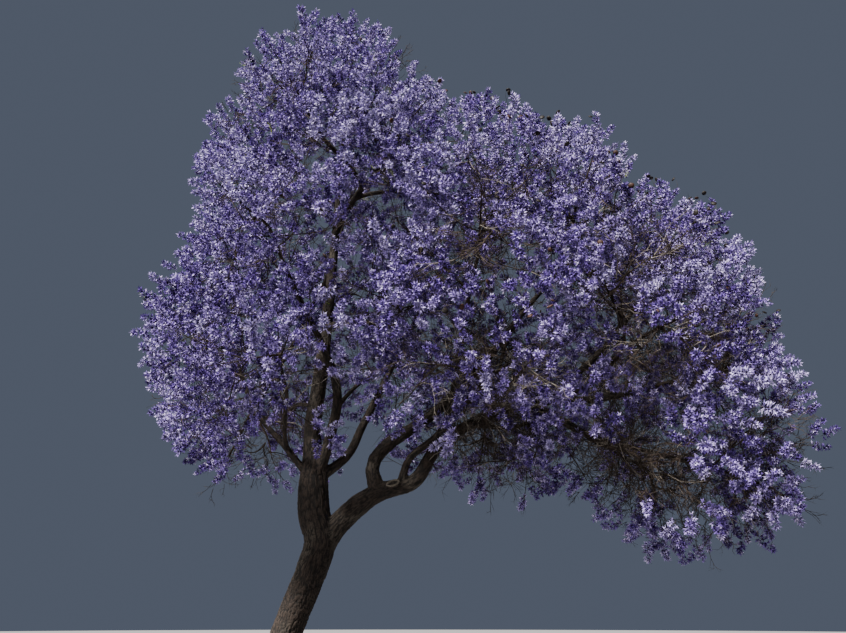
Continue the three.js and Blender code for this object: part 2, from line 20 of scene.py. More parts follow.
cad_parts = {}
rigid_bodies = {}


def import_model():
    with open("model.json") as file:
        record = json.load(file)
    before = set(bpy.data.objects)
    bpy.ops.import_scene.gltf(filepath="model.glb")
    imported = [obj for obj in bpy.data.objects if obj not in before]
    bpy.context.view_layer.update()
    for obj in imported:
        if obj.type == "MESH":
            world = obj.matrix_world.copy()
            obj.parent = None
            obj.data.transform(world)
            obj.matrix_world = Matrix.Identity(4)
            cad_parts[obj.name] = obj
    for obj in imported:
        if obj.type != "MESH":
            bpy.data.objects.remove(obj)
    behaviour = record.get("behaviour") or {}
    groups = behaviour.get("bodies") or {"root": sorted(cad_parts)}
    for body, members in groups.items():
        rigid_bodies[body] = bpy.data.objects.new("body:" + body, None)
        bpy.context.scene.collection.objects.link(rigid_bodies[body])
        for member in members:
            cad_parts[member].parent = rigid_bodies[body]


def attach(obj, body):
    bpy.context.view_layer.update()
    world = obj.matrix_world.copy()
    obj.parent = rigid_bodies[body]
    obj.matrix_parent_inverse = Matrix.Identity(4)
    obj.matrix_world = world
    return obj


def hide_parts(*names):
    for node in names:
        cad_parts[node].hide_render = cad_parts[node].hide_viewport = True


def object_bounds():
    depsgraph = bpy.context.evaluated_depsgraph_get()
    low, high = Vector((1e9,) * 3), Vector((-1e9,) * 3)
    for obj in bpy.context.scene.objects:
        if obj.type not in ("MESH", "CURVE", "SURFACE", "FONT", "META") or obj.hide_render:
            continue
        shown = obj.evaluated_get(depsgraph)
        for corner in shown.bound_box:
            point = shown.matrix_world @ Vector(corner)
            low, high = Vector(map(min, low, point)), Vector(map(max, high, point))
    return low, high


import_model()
MODEL_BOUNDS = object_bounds()

bl_info = {
    "name": "Jacaranda tree",
    "version": (1, 0, 0),
    "blender": (4, 5, 0),
    "location": "View3D > Sidebar > Jacaranda",
    "description": "Grows a jacaranda in full blossom around its packed model",
    "category": "Object",
}

MM = 0.001
UP = np.array((0.0, 0.0, 1.0))
STEEP = 0.9  # the rise from which a way counts as upright
GOLDEN_ANGLE = math.pi * (3 - math.sqrt(5))
WORD = 0xFFFFFFFF  # the largest 32-bit number

# Crown outline, in millimetres: the centre and reach of each lobe
LOBE_CENTRES = np.array((
    (1050, -300, 8500),
    (3900, -100, 7100),
    (5950, -400, 6150),
    (6950, -1000, 4400),
    (-200, 100, 6100),
), float)
LOBE_REACHES = np.array((
    (2650, 3400, 4300),
    (3400, 3800, 3750),
    (2750, 3300, 3000),
    (1950, 2500, 2000),
    (2150, 3300, 2600),
), float)
MASS_COUNT = 29
SHELL_SHARE = 0.64
SAME_LEVEL = 1e-6  # how far apart two levels may be and still be the same
SHELL_POINTS = 500
SKIRT_HEIGHT = 3500
HEART = np.array((1600.0, 0, 4200))
HEART_RADIUS = 2300
MASS_RADIUS = 1950
MASS_JITTER = 160
JITTER_SEED = 9
FIRST_MASS_SEED = 101

# Trunk and leaders
FORK = (760, 0, 2250)
TRUNK_KNOTS = ((0, 0, 0), (140, 0, 500), (420, 0, 1350), FORK, (900, 0, 2620))
TRUNK_RADIUS = 236
TRUNK_SWELL = 34
FLARE_RADIUS = 190
FLARE_HEIGHT = 420
ROOT_LOBES = 5
ROOT_LOBE_SHARE = 0.13
OVAL_SHARE = 0.04
LEADERS = (
    {
        "knots": (
            FORK, (900, 0, 2770), (775, 0, 3240), (735, 10, 3900), (670, 60, 4700), (760, 90, 5700),
            (880, 120, 7600)),
        "target": (900, 150, 11200),
        "girth": ((0, 270), (0.19, 272), (0.27, 160), (0.6, 112), (1, 42)),
    },
    {
        "knots": (
            FORK, (1200, 0, 3060), (1850, -20, 3575), (2480, -40, 3770), (2950, -90, 4420),
            (4300, -250, 5080), (5800, -450, 5150)),
        "target": (7900, -600, 4700),
        "girth": ((0, 196), (0.2, 185), (0.3, 138), (0.4, 112), (0.65, 86), (1, 42)),
    },
)
LEADER_STEPS = 20

# Main boughs: the leader that each leaves and where along it, its knots, and its mass's place
MAIN_BOUGHS = (
    {
        "parent": 1, "at": 0.25, "target": (5600, 500, 7400),
        "via": ((1790, 40, 4080), (1970, 80, 4390), (2960, 160, 5110)),
        "girth": ((0, 130), (0.12, 122), (0.45, 95), (1, 42)),
    },
    {
        "parent": 1, "at": 0.3, "target": (4300, -2300, 6500),
        "via": ((2400, -150, 4150), (2950, -350, 4640)),
        "girth": ((0, 72), (0.4, 58), (1, 42)),
    },
    {
        "parent": 0, "at": 0.2, "target": (-2000, 300, 5600),
        "via": ((280, -60, 4340), (-260, 0, 4900)),
        "girth": ((0, 66), (0.4, 52), (1, 42)),
    },
    {
        "parent": 0, "at": 0.2, "target": (1500, -2300, 8000),
        "via": ((1010, -170, 4440), (1150, -480, 5250)),
        "girth": ((0, 112), (0.3, 94), (1, 42)),
    },
    {
        "parent": 0, "at": 0.2, "target": (2900, 900, 9300),
        "via": ((1300, 190, 4260), (1570, 400, 4940)),
        "girth": ((0, 90), (0.35, 74), (1, 42)),
    },
)
MAIN_STEPS = 9
BOUGH_STEPS = 5
TIP_RADIUS = 42
MOST_OF_PARENT = 0.8
FORK_REACH = 0.34
WIDEST_FORK = math.radians(100)
DEPTH_COST = 0.3
MOST_DEPTH = 3
BOUGH_CLEARANCE = 15
OWN_STEPS = 2
FIRST_FORK = 0.2
LAST_FORK = 0.8
TIP_GAP = 1000

# Twigs and panicle clusters of the source
STEM_REACH = 300
MOST_CLUSTERS = 17
DARTS = 260
CLUSTER_SPACING = 480
BARE_LEVEL = 0.48
CLUSTER_LENGTH = 820
CLUSTER_WIDTH = 656
BELLY_SHARE = 0.45
SIZE_SPREAD = 0.2
CLUSTER_FITS = ((1, 0.5), (0.85, 0.2), (0.7, 0))  # size, and lean up and out of the crown
SHORTEST_TWIG = 120
STEM_FORKS = (1, 1.5, 2, 2.5)
TWIG_FORKS = (0.35, 0.7)
TWIG_TIP_RADIUS = 12
THICKEST_TWIG = 30
CELL_MARGIN = 12
LIMB_MARGIN = 20
ROOM_STEP = 40
GAP = 0.3


def seeded(seed):
    """A source of numbers from 0 to 1 that are the same on every run."""
    state = seed

    def draw():
        """The next number."""
        nonlocal state
        state = (state + 0x6D2B79F5) & WORD
        mixed = ((state ^ (state >> 15)) * (1 | state)) & WORD
        mixed = ((mixed + (mixed ^ (mixed >> 7)) * (61 | mixed)) & WORD) ^ mixed
        return (mixed ^ (mixed >> 14)) / (WORD + 1)

    return draw


def dot(a, b):
    """Dot products along the last axis."""
    return np.sum(np.asarray(a) * b, axis=-1)


def length_of(a):
    """Lengths along the last axis."""
    return np.sqrt(dot(a, a))


def unit(a):
    """Vectors of length 1 along the last axis."""
    a = np.asarray(a, float)
    return a / length_of(a)[..., None]


def angle_between(a, b):
    """Angles between vectors."""
    return np.arccos(np.clip(dot(a, b) / (length_of(a) * length_of(b)), -1, 1))


def lobe_levels(points):
    """For each point and lobe: 0 at the lobe's centre, 1 on its outline."""
    return length_of((np.asarray(points, float)[..., None, :] - LOBE_CENTRES) / LOBE_REACHES)


def crown_level(points):
    """0 at a lobe's centre, 1 on the crown's outline."""
    return lobe_levels(points).min(axis=-1)


def crown_normal(points):
    """The way out of the crown: square to the lobe that a point is deepest in."""
    lobe = lobe_levels(points).argmin(axis=-1)
    return unit((points - LOBE_CENTRES[lobe]) / LOBE_REACHES[lobe] ** 2)


def spread_out(points, first, count, spacing=0):
    """Points picked so that each next one is the furthest from those already picked."""
    picked = [first]
    if not len(points):
        return picked
    nearest = length_of(points - first)
    while len(picked) < count:
        best = int(np.argmax(nearest))
        if not nearest[best] > spacing:
            break
        picked.append(points[best])
        nearest = np.minimum(nearest, length_of(points - points[best]))
    return picked


@functools.cache
def mass_centres():
    """The centres of the foliage masses, from the top of the crown on."""
    index = np.arange(SHELL_POINTS)
    z = 1 - (2 * index + 1) / SHELL_POINTS
    ring = np.sqrt(1 - z * z)
    ball = np.stack((ring * np.cos(index * GOLDEN_ANGLE), ring * np.sin(index * GOLDEN_ANGLE), z), axis=1)
    shell = []
    for centre, reach in zip(LOBE_CENTRES, LOBE_REACHES):
        points = ball * reach * SHELL_SHARE + centre
        outside = crown_level(points) > SHELL_SHARE - SAME_LEVEL
        kept = outside & (points[:, 2] > SKIRT_HEIGHT) & (length_of(points - HEART) > HEART_RADIUS)
        shell.append(points[kept])
    shell = np.concatenate(shell)
    random = seeded(JITTER_SEED)
    picked = spread_out(shell, shell[np.argmax(shell[:, 2])], MASS_COUNT)
    return np.array([p + [2 * MASS_JITTER * (random() - 0.5) for _ in range(3)] for p in picked])


def segment_distances(a, b, c, d):
    """Distances between the segments a-b and c-d."""
    u, v, w = b - a, d - c, a - c
    uu, uv, vv, uw, vw = dot(u, u), dot(u, v), dot(v, v), dot(u, w), dot(v, w)
    spread = uu * vv - uv * uv
    s = np.where(spread > 1e-9, np.clip((uv * vw - vv * uw) / np.maximum(spread, 1e-9), 0, 1), 0)
    t = np.clip((uv * s + vw) / vv, 0, 1)
    s = np.clip((uv * t - uw) / uu, 0, 1)
    return length_of(w + u * s[..., None] - v * t[..., None])


def evenly_along(point_at, steps):
    """Points at even distances along a curve, whose shares run from 0 to 1."""
    shares = np.linspace(0, 1, 201)
    points = np.array([point_at(t) for t in shares])
    lengths = np.concatenate(((0,), np.cumsum(length_of(np.diff(points, axis=0)))))
    targets = lengths[-1] * np.linspace(0, 1, steps + 1)
    return np.array([point_at(t) for t in np.interp(targets, lengths, shares)])


def smooth_curve(knots):
    """A centripetal curve through knots, as a function of its share from 0 to 1."""
    knots = np.array(knots, float)
    ends = 2 * knots[0] - knots[1], 2 * knots[-1] - knots[-2]
    knots = np.concatenate(([ends[0]], knots, [ends[1]]))
    spans = np.sqrt(length_of(np.diff(knots, axis=0)))

    def point_at(share):
        """The point at a share of the curve."""
        place = share * (len(knots) - 3)
        k = min(int(place), len(knots) - 4)
        t = place - k
        before, here, there, after = knots[k:k + 4]
        d0, d1, d2 = spans[k:k + 3]
        leave = ((here - before) / d0 - (there - before) / (d0 + d1) + (there - here) / d1) * d1
        arrive = ((there - here) / d1 - (after - here) / (d1 + d2) + (after - there) / d2) * d1
        bend = -3 * here + 3 * there - 2 * leave - arrive
        return here + leave * t + bend * t * t + (2 * here - 2 * there + leave + arrive) * t ** 3

    return point_at


def arched_curve(foot, elbow, tip):
    """A curve from a foot to a tip that leaves and arrives along its elbow."""
    return lambda t: (1 - t) ** 2 * foot + 2 * (1 - t) * t * elbow + t * t * tip


@dataclass(eq=False)
class Limb:
    """A leader or bough, and the mass of foliage that it ends in."""
    path: np.ndarray
    radii: np.ndarray
    mass: int
    curve: object
    parent: int = -1
    at: int = 0
    depth: int = 0
    main: bool = False


def tangent_at(path, i):
    """The tangent of a path at one of its points."""
    last = len(path) - 1
    i = i % (last + 1)
    return unit(path[min(i + 1, last)] - path[max(i - 1, 0)])


def keeps_to_space(mass, points):
    """For each point, whether it keeps to the space of a mass."""
    centres = mass_centres()
    away = points - centres[mass]
    others = np.delete(centres, mass, axis=0) - centres[mass]
    across = length_of(others)
    within = (away @ others.T / across < across / 2 - CELL_MARGIN).all(axis=-1)
    return within & (length_of(away) <= MASS_RADIUS) & (crown_level(points) <= 1)


def room_along(mass, start, way):
    """How far the space of a mass goes from a point in a direction."""
    steps = ROOM_STEP * np.arange(1, math.ceil(2 * MASS_RADIUS / ROOM_STEP) + 1)
    fits = keeps_to_space(mass, start + way * steps[:, None])
    return ROOM_STEP * (len(steps) if fits.all() else int(np.argmin(fits)))


def stem_of(limb):
    """The stem of a limb's mass: on from the limb, through the centre and out towards the outline."""
    way = tangent_at(limb.path, -1)
    centre = mass_centres()[limb.mass]
    start = limb.path[-1] + way * GAP
    elbow = start + way * STEM_REACH
    outward = unit(unit(centre - elbow) + crown_normal(centre))
    room = room_along(limb.mass, centre, outward) - 0.9 * CLUSTER_LENGTH
    return np.array([start, elbow, centre, centre + outward * max(room, SHORTEST_TWIG)])


def capsules(limb, with_stem=False):
    """The feet, ends and radii of the capsules that cover a limb."""
    path, radii = limb.path, limb.radii
    if with_stem:
        path = np.concatenate((path, stem_of(limb)[1:]))
        radii = np.concatenate((radii, np.full(3, TIP_RADIUS)))
    return path[:-1], path[1:], np.maximum(radii[:-1], radii[1:]), radii[1:]


def tip_before(centre, start):
    """Where a limb into a mass ends, coming from a point."""
    return centre - unit(centre - start) * TIP_GAP


def nearest_free(target, taken):
    """The mass nearest to a target among those that no limb has yet."""
    distance = length_of(mass_centres() - np.array(target, float))
    distance[list(taken)] = np.inf
    best = int(np.argmin(distance))
    taken.add(best)
    return best


def make_leader(leader, taken):
    """A leader from the trunk's fork to the mass nearest to its target."""
    knots = np.array(leader["knots"], float)
    mass = nearest_free(leader["target"], taken)
    curve = smooth_curve([*knots, tip_before(mass_centres()[mass], knots[-1])])
    radii = np.interp(np.linspace(0, 1, LEADER_STEPS + 1), *zip(*leader["girth"]))
    return Limb(evenly_along(curve, LEADER_STEPS), radii, mass, curve)


def make_main_bough(bough, leaders, taken):
    """A main bough off a leader, through its own knots, to the mass nearest to its target."""
    mass = nearest_free(bough["target"], taken)
    parent, step = bough["parent"], round(bough["at"] * LEADER_STEPS)
    via = np.array(bough["via"], float)
    tip = tip_before(mass_centres()[mass], via[-1])
    curve = smooth_curve([leaders[parent].path[step], *via, tip])
    radii = np.interp(np.linspace(0, 1, MAIN_STEPS + 1), *zip(*bough["girth"]))
    return Limb(evenly_along(curve, MAIN_STEPS), radii, mass, curve, parent, step, 1, main=True)


def make_bough(parent, limb, step, mass):
    """A bough from a step of a limb: it leaves along its parent and bends over to its mass."""
    foot = limb.path[step]
    tip = tip_before(mass_centres()[mass], foot)
    along = tangent_at(limb.path, step)
    reach = FORK_REACH * length_of(tip - foot)
    elbow = foot + along * reach
    elbow = elbow + ((foot + tip) / 2 - elbow) * 0.4
    curve = arched_curve(foot, elbow, tip)
    radii = np.full(BOUGH_STEPS + 1, 1.5 * TIP_RADIUS)
    return Limb(evenly_along(curve, BOUGH_STEPS), radii, mass, curve, parent, step, limb.depth + 1)


def bough_is_clear(bough, limbs, covers):
    """Whether a bough with its stem keeps clear of every limb and stem, apart from its own fork."""
    feet, ends, _, radii = capsules(bough, with_stem=True)
    for index in range(len(limbs)):
        own = index == bough.parent
        first = OWN_STEPS - 1 if own else 0
        margin = 0 if own else BOUGH_CLEARANCE
        other_feet, other_ends, thick, _ = covers[index]
        gaps = segment_distances(feet[first:, None], ends[first:, None], other_feet, other_ends)
        if (gaps < radii[first:, None] + margin + thick).any():
            return False
    return True


def offer_boughs(offers, index, limb):
    """Adds a limb's possible boughs to the heap of offers, each with its cost."""
    if limb.depth >= MOST_DEPTH:
        return
    last = len(limb.path) - 1
    centres = mass_centres()
    for step in range(math.ceil(FIRST_FORK * last), int(LAST_FORK * last) + 1):
        foot = limb.path[step]
        away = centres - unit(centres - foot) * TIP_GAP - foot
        angles = angle_between(np.broadcast_to(tangent_at(limb.path, step), away.shape), away)
        costs = length_of(away) * (1.6 - 0.6 * np.cos(angles)) * (1 + DEPTH_COST * (limb.depth + 1))
        for mass in range(len(centres)):
            if angles[mass] < WIDEST_FORK:
                heappush(offers, (costs[mass], index, step, mass))


@functools.cache
def grown_limbs():
    """The leaders and boughs: each next bough is the cheapest clear one to a mass that has none."""
    taken = set()
    limbs = [make_leader(leader, taken) for leader in LEADERS]
    limbs += [make_main_bough(bough, limbs, taken) for bough in MAIN_BOUGHS]
    covers = [capsules(limb, with_stem=True) for limb in limbs]
    offers = []
    for index, limb in enumerate(limbs):
        offer_boughs(offers, index, limb)
    while len(taken) < MASS_COUNT:
        _, parent, step, mass = heappop(offers)
        if mass in taken:
            continue
        bough = make_bough(parent, limbs[parent], step, mass)
        if bough_is_clear(bough, limbs, covers):
            taken.add(mass)
            limbs.append(bough)
            covers.append(capsules(bough, with_stem=True))
            offer_boughs(offers, len(limbs) - 1, bough)
    thicken(limbs)
    return limbs


def thicken(limbs):
    """Radii of side boughs by load: the section of the tips that a bough carries on from a step."""
    load = [1] * len(limbs)
    for i in range(len(limbs) - 1, -1, -1):
        if limbs[i].parent >= 0:
            load[limbs[i].parent] += load[i]
    for i, limb in enumerate(limbs):
        if limb.parent < 0 or limb.main:
            continue
        last = len(limb.path) - 1
        children = [(child.at, load[j]) for j, child in enumerate(limbs) if child.parent == i]
        carried = [1 + sum(tips for at, tips in children if at >= k - 1) for k in range(last + 1)]
        full = TIP_RADIUS * np.sqrt(carried)
        full[0] = min(full[0] * 1.15, MOST_OF_PARENT * limbs[limb.parent].radii[limb.at])
        full = np.minimum.accumulate(full)
        padded = np.concatenate((full[:1], full, full[-1:]))
        limb.radii = (padded[:-2] + padded[1:-1] + padded[2:]) / 3
        limb.radii[last] = min(TIP_RADIUS, limb.radii[last])


@functools.cache
def limb_capsules():
    """The capsules of all limbs together: feet, ends and radii."""
    covers = [capsules(limb) for limb in grown_limbs()]
    return [np.concatenate([cover[part] for cover in covers]) for part in range(3)]


def clear_of_limbs(a, b, radius):
    """For each capsule a-b, whether it keeps clear of every limb."""
    feet, ends, thick = limb_capsules()
    gaps = segment_distances(a[..., None, :], b[..., None, :], feet, ends)
    return (gaps >= radius + LIMB_MARGIN + thick).all(axis=-1)


def rings_of_spray(foot, neck, way, length, width):
    """The corners of a three-sided twig from foot to neck, with a cluster on its end."""
    along = unit(neck - foot)
    hint = np.array((1.0, 0, 0)) if abs(along[2]) > STEEP else UP
    side = unit(hint - along * dot(hint, along))
    turns = 2 * math.pi * np.arange(3)[:, None] / 3
    spokes = side * np.cos(turns) + np.cross(along, side) * np.sin(turns)
    flat = unit(spokes - way * dot(spokes, way)[:, None])
    belly = neck + flat * width / 2 + way * BELLY_SHARE * length
    return np.concatenate((
        foot + spokes * THICKEST_TWIG,
        neck + spokes * TWIG_TIP_RADIUS,
        belly,
        [neck + way * length],
    ))


def cluster_places(mass, stem, random):
    """Well-spread places for the middles of a mass's clusters, the nearest to its centre first."""
    draws = np.array([random() for _ in range(3 * DARTS)]).reshape(DARTS, 3)
    z = 2 * draws[:, 0] - 1
    turn = 2 * math.pi * draws[:, 1]
    ring = np.sqrt(1 - z * z)
    ways = np.stack((ring * np.cos(turn), ring * np.sin(turn), z), axis=1)
    centre = mass_centres()[mass]
    places = centre + ways * MASS_RADIUS * np.cbrt(draws[:, 2:])
    places = places[crown_level(places) > BARE_LEVEL]
    radius = 0.4 * CLUSTER_WIDTH
    poles = np.concatenate((np.eye(3), -np.eye(3))) * radius
    inside = keeps_to_space(mass, places[:, None] + poles).all(axis=1)
    off_stem = segment_distances(stem[:-1], stem[1:], places[:, None], places[:, None] + UP) > radius
    clear = clear_of_limbs(places, places + UP, radius)
    places = places[inside & off_stem.all(axis=1) & clear]
    own = stem[-1] + tangent_at(stem, -1) * BELLY_SHARE * CLUSTER_LENGTH
    chosen = spread_out(places, own, MOST_CLUSTERS, CLUSTER_SPACING)[1:]
    return sorted(chosen, key=lambda p: length_of(p - centre))


@dataclass(eq=False)
class Twig:
    """A twig of the source with the cluster on its end: its path, and the cluster's way and size."""
    path: np.ndarray
    way: np.ndarray
    size: float
    parent: int = -1
    load: int = 1


def twig_fits(mass, twig, twigs):
    """Whether a twig and its cluster keep to their space, and clear of limbs and other twigs."""
    foot, neck = twig.path
    if length_of(neck - foot) < SHORTEST_TWIG:
        return False
    length, width = CLUSTER_LENGTH * twig.size, CLUSTER_WIDTH * twig.size
    if not keeps_to_space(mass, rings_of_spray(foot, neck, twig.way, length, width)).all():
        return False
    belly, end = neck + twig.way * BELLY_SHARE * length, neck + twig.way * length
    feet, ends = np.array([foot, neck, belly]), np.array([neck, belly, end])
    if not clear_of_limbs(feet, ends, np.array([[THICKEST_TWIG], [0.35 * width], [0.5 * width]])).all():
        return False
    necks = np.array([other.path[-1] for other in twigs])
    other_feet = np.array([other.path[-2] for other in twigs])
    tips = necks + np.array([other.way * other.size for other in twigs]) * CLUSTER_LENGTH
    if (segment_distances(foot, neck, necks, tips) <= 0.25 * CLUSTER_WIDTH).any():
        return False
    clear = segment_distances(belly, end, other_feet, necks) > 0.3 * width
    clear[twig.parent] = True
    return clear.all()


def cheapest_twig(mass, place, forks, twigs, size, lean):
    """The cheapest clear twig from any fork to a place, or None."""
    feet = np.array([fork[0] for fork in forks])
    ways = np.array([fork[1] for fork in forks])
    angles = angle_between(ways, place - feet)
    costs = length_of(place - feet) * (1.5 - 0.5 * np.cos(angles))
    for i in np.argsort(costs, kind="stable"):
        if angles[i] > WIDEST_FORK:
            continue
        way = unit(unit(place - feet[i]) + crown_normal(place) * lean + UP * lean / 2)
        neck = place - way * BELLY_SHARE * CLUSTER_LENGTH * size
        twig = Twig(np.array([feet[i], neck]), way, size, forks[i][2])
        if twig_fits(mass, twig, twigs):
            return twig
    return None


def grow_mass(limb):
    """The twigs of a limb's mass: the stem, then one to each cluster from the cheapest clear fork."""
    random = seeded(FIRST_MASS_SEED + limb.mass)
    stem = stem_of(limb)
    twigs = [Twig(stem, tangent_at(stem, -1), 1)]
    forks = []
    for share in STEM_FORKS:
        k = int(share)
        forks.append((stem[k] + (stem[k + 1] - stem[k]) * (share - k), tangent_at(stem, k), 0))
    for place in cluster_places(limb.mass, stem, random):
        grade = 1 + SIZE_SPREAD * (random() - 0.5)
        for size, lean in CLUSTER_FITS:
            twig = cheapest_twig(limb.mass, place, forks, twigs, size * grade, lean)
            if twig:
                break
        else:
            continue
        carrier = twig.parent
        while carrier >= 0:
            twigs[carrier].load += 1
            carrier = twigs[carrier].parent
        twigs.append(twig)
        foot, neck = twig.path
        for share in TWIG_FORKS:
            forks.append((foot + (neck - foot) * share, unit(neck - foot), len(twigs) - 1))
    return twigs


@functools.cache
def grown_masses():
    """The twigs of every mass, in the order of the limbs."""
    return [grow_mass(limb) for limb in grown_limbs()]


# The dressed tree, in metres where no comment says millimetres

SEEDS = {
    "wander": 5, "twigs": 21, "panicles": 37, "fillers": 43, "inner shoots": 53, "dead twigs": 59,
    "bare sprays": 61, "blossom": 71, "pods": 91, "fronds": 97,
}
FIRST_PANICLE_SEED = 80

LIMB_NODES = ["trunk", "leader_left", "leader_right"]
LIMB_NODES += [f"bough_{n:02d}" for n in range(1, MASS_COUNT - len(LEADERS) + 1)]
MASS_NODES = [f"mass_{n:02d}" for n in range(1, MASS_COUNT + 1)]

# Skins of the trunk and limbs
TRUNK_RINGS = 44
TRUNK_SIDES = 40
ROOT_TURN = 0.6
CREST_SHARE = 0.16  # the share of the trunk, at its top, that narrows into the leaders
CREST_NARROWING = 0.3
LEADER_RINGS = 90
BOUGH_RINGS = 26
LIMB_SIDES = 14
TRUNK_SHARE = 0.26  # the share of each leader that belongs to the trunk's piece
OVERLAP_SHARE = 0.02
SINK = 0.86  # how thin a limb gets where it sinks into the other piece of bark
COLLAR = 0.45  # the swelling where a bough leaves its parent
COLLAR_REACH = 1.1  # how far it reaches, in radii of the parent
THICKEST_FOOT = 0.97  # a bough's radius against its parent's
WOBBLE = 22.0  # millimetres that a limb's axis wanders
WAVE_LENGTH = 900  # millimetres
SKIN_SMOOTHING = 5
NEAR_SAMPLES = 5

# Relief of the bark: noise by its fineness over and along the grain, and its shift
FURROWS = ((27, 27, 5.5), (0, 0, 0))
CRACKS = ((11, 11, 20), (7, 0, 0))
FLAKES = ((55, 55, 15), (0, 0, 5))
FURROW_WIDTH = 0.17
CRACK_WIDTH = 0.09
CRACK_DEPTH = 0.6
PLATE_HEIGHT = 0.82
FLAKE_HEIGHT = 0.36
RELIEF_LEVEL = 0.7  # the relief that leaves the skin where it is
FULL_RELIEF_RADIUS = 0.24
LUMP_FINENESS = (3.1, 3.1, 1.4)
LUMP_SHARE = 0.06

# The old pruning cut on the right leader
STUB_PLACE = (2150, -25, 3650)  # millimetres
STUB_WAY = (-0.15, -0.9, 0.42)
STUB_ALONG = (0.95, 0, 0.3)  # the limb's own way, in which the cut is oval
STUB_STRETCH = 1.9
STUB_LENGTH = 182  # millimetres
STUB_RADIUS = 66  # millimetres
STUB_TAPER = np.array((1.5, 1.4, 1.25, 1.12, 1.05, 1, 1, 1.04, 1.06))
CUT_SHARE = 0.97
CUT_SIDES = 24
CUT_PROUD = 0.004
CUT_THICKNESS = 0.02
CUT_STEP = 0.014  # the width of each step towards the hollow
CUT_DEPTHS = (0.004, -0.004, -0.018)

# Twigs and shoots
STEM_SINK = 60  # millimetres that a stem starts inside its bough's tip
STEM_STEPS = 22
STEM_SIDES = 7
STEM_END_RADIUS = 4.0  # millimetres
TWIG_STEPS = 7
TWIG_SIDES = 5
TWIG_BEND = 0.09
NECK_RADIUS = 7.5  # millimetres
AXIS_SHARE = 0.8  # how far a twig runs on through its cluster
AXIS_STEPS = 5
AXIS_END_RADIUS = 3.0  # millimetres
TWIGLET_RADII = (0.0042, 0.0028)
TWIGLET_OVERLAP = 0.01
TWIGLET_SAG = 0.02
SIDE_SHOOTS = ((0.35, 0.55), (0.55, 0.5), (0.75, 0.42))  # where along its shoot, and length
SHOOT_BEND = 0.14
SIDE_SHOOT_BEND = 0.16
SHOOT_RADII = (0.005, 0.009)
SHOOT_LENGTHS = (0.35, 1)
SHOOT_ROOM = 1.2
LIMB_BARE_SHARE = 0.35  # the share of a limb, from its foot, that bears no shoots
INNER_SHOOT = {"longest": 0.9, "wild": 0.55}
DEAD_SHOOT = {"longest": 0.95, "wild": 0.6}
SPRAY = {"longest": 0.36, "wild": 0.5}
SPRAY_RADII = (0.004, 0.007)
SPRAY_LENGTHS = (0.7, 1.1)
SPRAY_SPREAD = 0.45
THICKET_HEIGHT = 5  # the thicket of bare twigs low on the right: its height, depth and left end
THICKET_DEPTH = 2.2
THICKET_SIDE = 2.5
THICKET_ELSEWHERE = 0.15
THICKET_CROWDING = 3

# Panicles
PANICLE_GRADES = (0.8, 1.15)
STALK_RADII = ((0.003, 0.0024, 0.001),)  # at its foot, middle and tip
FILLER_DARTS = 9000
FILLER_LEVELS = (0.5, 0.95)  # the shell of the crown that panicles fill between the clusters
FILLER_REACH = (0.1, 0.9)  # the shortest and longest twig to one
PROUD = 0.06  # how far a panicle's end may stand out of the model's box
GAP_SIZE = 1.05  # of the gaps in the blossom, where bare twigs show
GAP_SHIFT = 3
GAP_LEVEL = -0.2
GAPS_BELOW = 0.4  # how much wider the gaps are under the crown and inside it
# Size and shift of the clumps of paler and deeper tints: painted light and painted shade on the blossom
CLUMP_SIZE = 0.85
CLUMP_SHIFT = 11
TINTS = ("palest", "pale", "middle", "deep", "deepest")
TINT_SHARES = (0.13, 0.34, 0.62, 0.86)  # the shares of panicles up to each tint, from the deepest
PANICLE_SHAPES = 6
PIECE_TRIANGLES = 190000

# Flowers, in shares of their length
THROAT_PLACE = 0.6
THROAT_RADIUS = 0.24
LOBE_RADIUS = 0.52
BELL_POINTS = 9
LONGEST_STALK = 0.5

# Pods and fronds
POD_STALKS = (0.32, 0.5)
POD_STALK_RADII = (0.0036, 0.0022)
POD_PROUD = 0.02
POD_WAVES = 5
LEAFLET_PAIRS = 11
LEAFLET_SHARE = 0.34
FROND_BOW = 0.3

# Colours
GLINT = (0.86, 0.8, 0.98)  # the painted glint that the palest petals tend to
FLOWER_STALK_TINTS = ((0.03, 0.026, 0.018), (0.06, 0.05, 0.036))
POD_STALK_TINTS = ((0.03, 0.022, 0.018), (0.07, 0.052, 0.042))
POD_SHADOW = (0.006, 0.0045, 0.004)
POD_BROWN = (0.012, 0.008, 0.006)
POD_RED = (0.055, 0.019, 0.01)
CUT_GREY = (0.05, 0.042, 0.033)
CUT_PALE = (0.12, 0.105, 0.083)
CUT_ROT = (0.012, 0.009, 0.007)
SUNLIGHT = (1.0, 0.97, 0.92)
SKYLIGHT = (0.6, 0.72, 1, 1)

# Stage
KEY_FROM = (-0.5, -0.54, 0.85)  # the way to the key light
KEY_WIDTH = 9  # degrees
FLOOR_RADIUS = 90
PHOTO_WIDTH = 846
FOCAL_PIXELS = 800
SENSOR_WIDTH = 36
CAMERA_SIDE = 2.64
CAMERA_PITCH = 20.5  # degrees


def generator(use):
    """Random numbers for one use that are the same on every run."""
    return np.random.default_rng(SEEDS[use])


# Meshes from arrays

def rings_along(paths, radii, sides):
    """Rings round paths, square to them, that don't twist: path, step, corner, coordinate."""
    tangents = unit(np.gradient(paths, axis=1))
    steep = np.abs(tangents[:, :1, 2]) > STEEP
    side = np.where(steep, (1.0, 0, 0), UP)
    spokes = np.empty_like(paths)
    for k in range(paths.shape[1]):
        side = unit(side - tangents[:, k] * dot(side, tangents[:, k])[:, None])
        spokes[:, k] = side
    ups = np.cross(tangents, spokes)
    turns = 2 * math.pi * np.arange(sides)[:, None] / sides
    around = spokes[:, :, None] * np.cos(turns) + ups[:, :, None] * np.sin(turns)
    return paths[:, :, None] + around * radii[:, :, None, None], spokes, ups


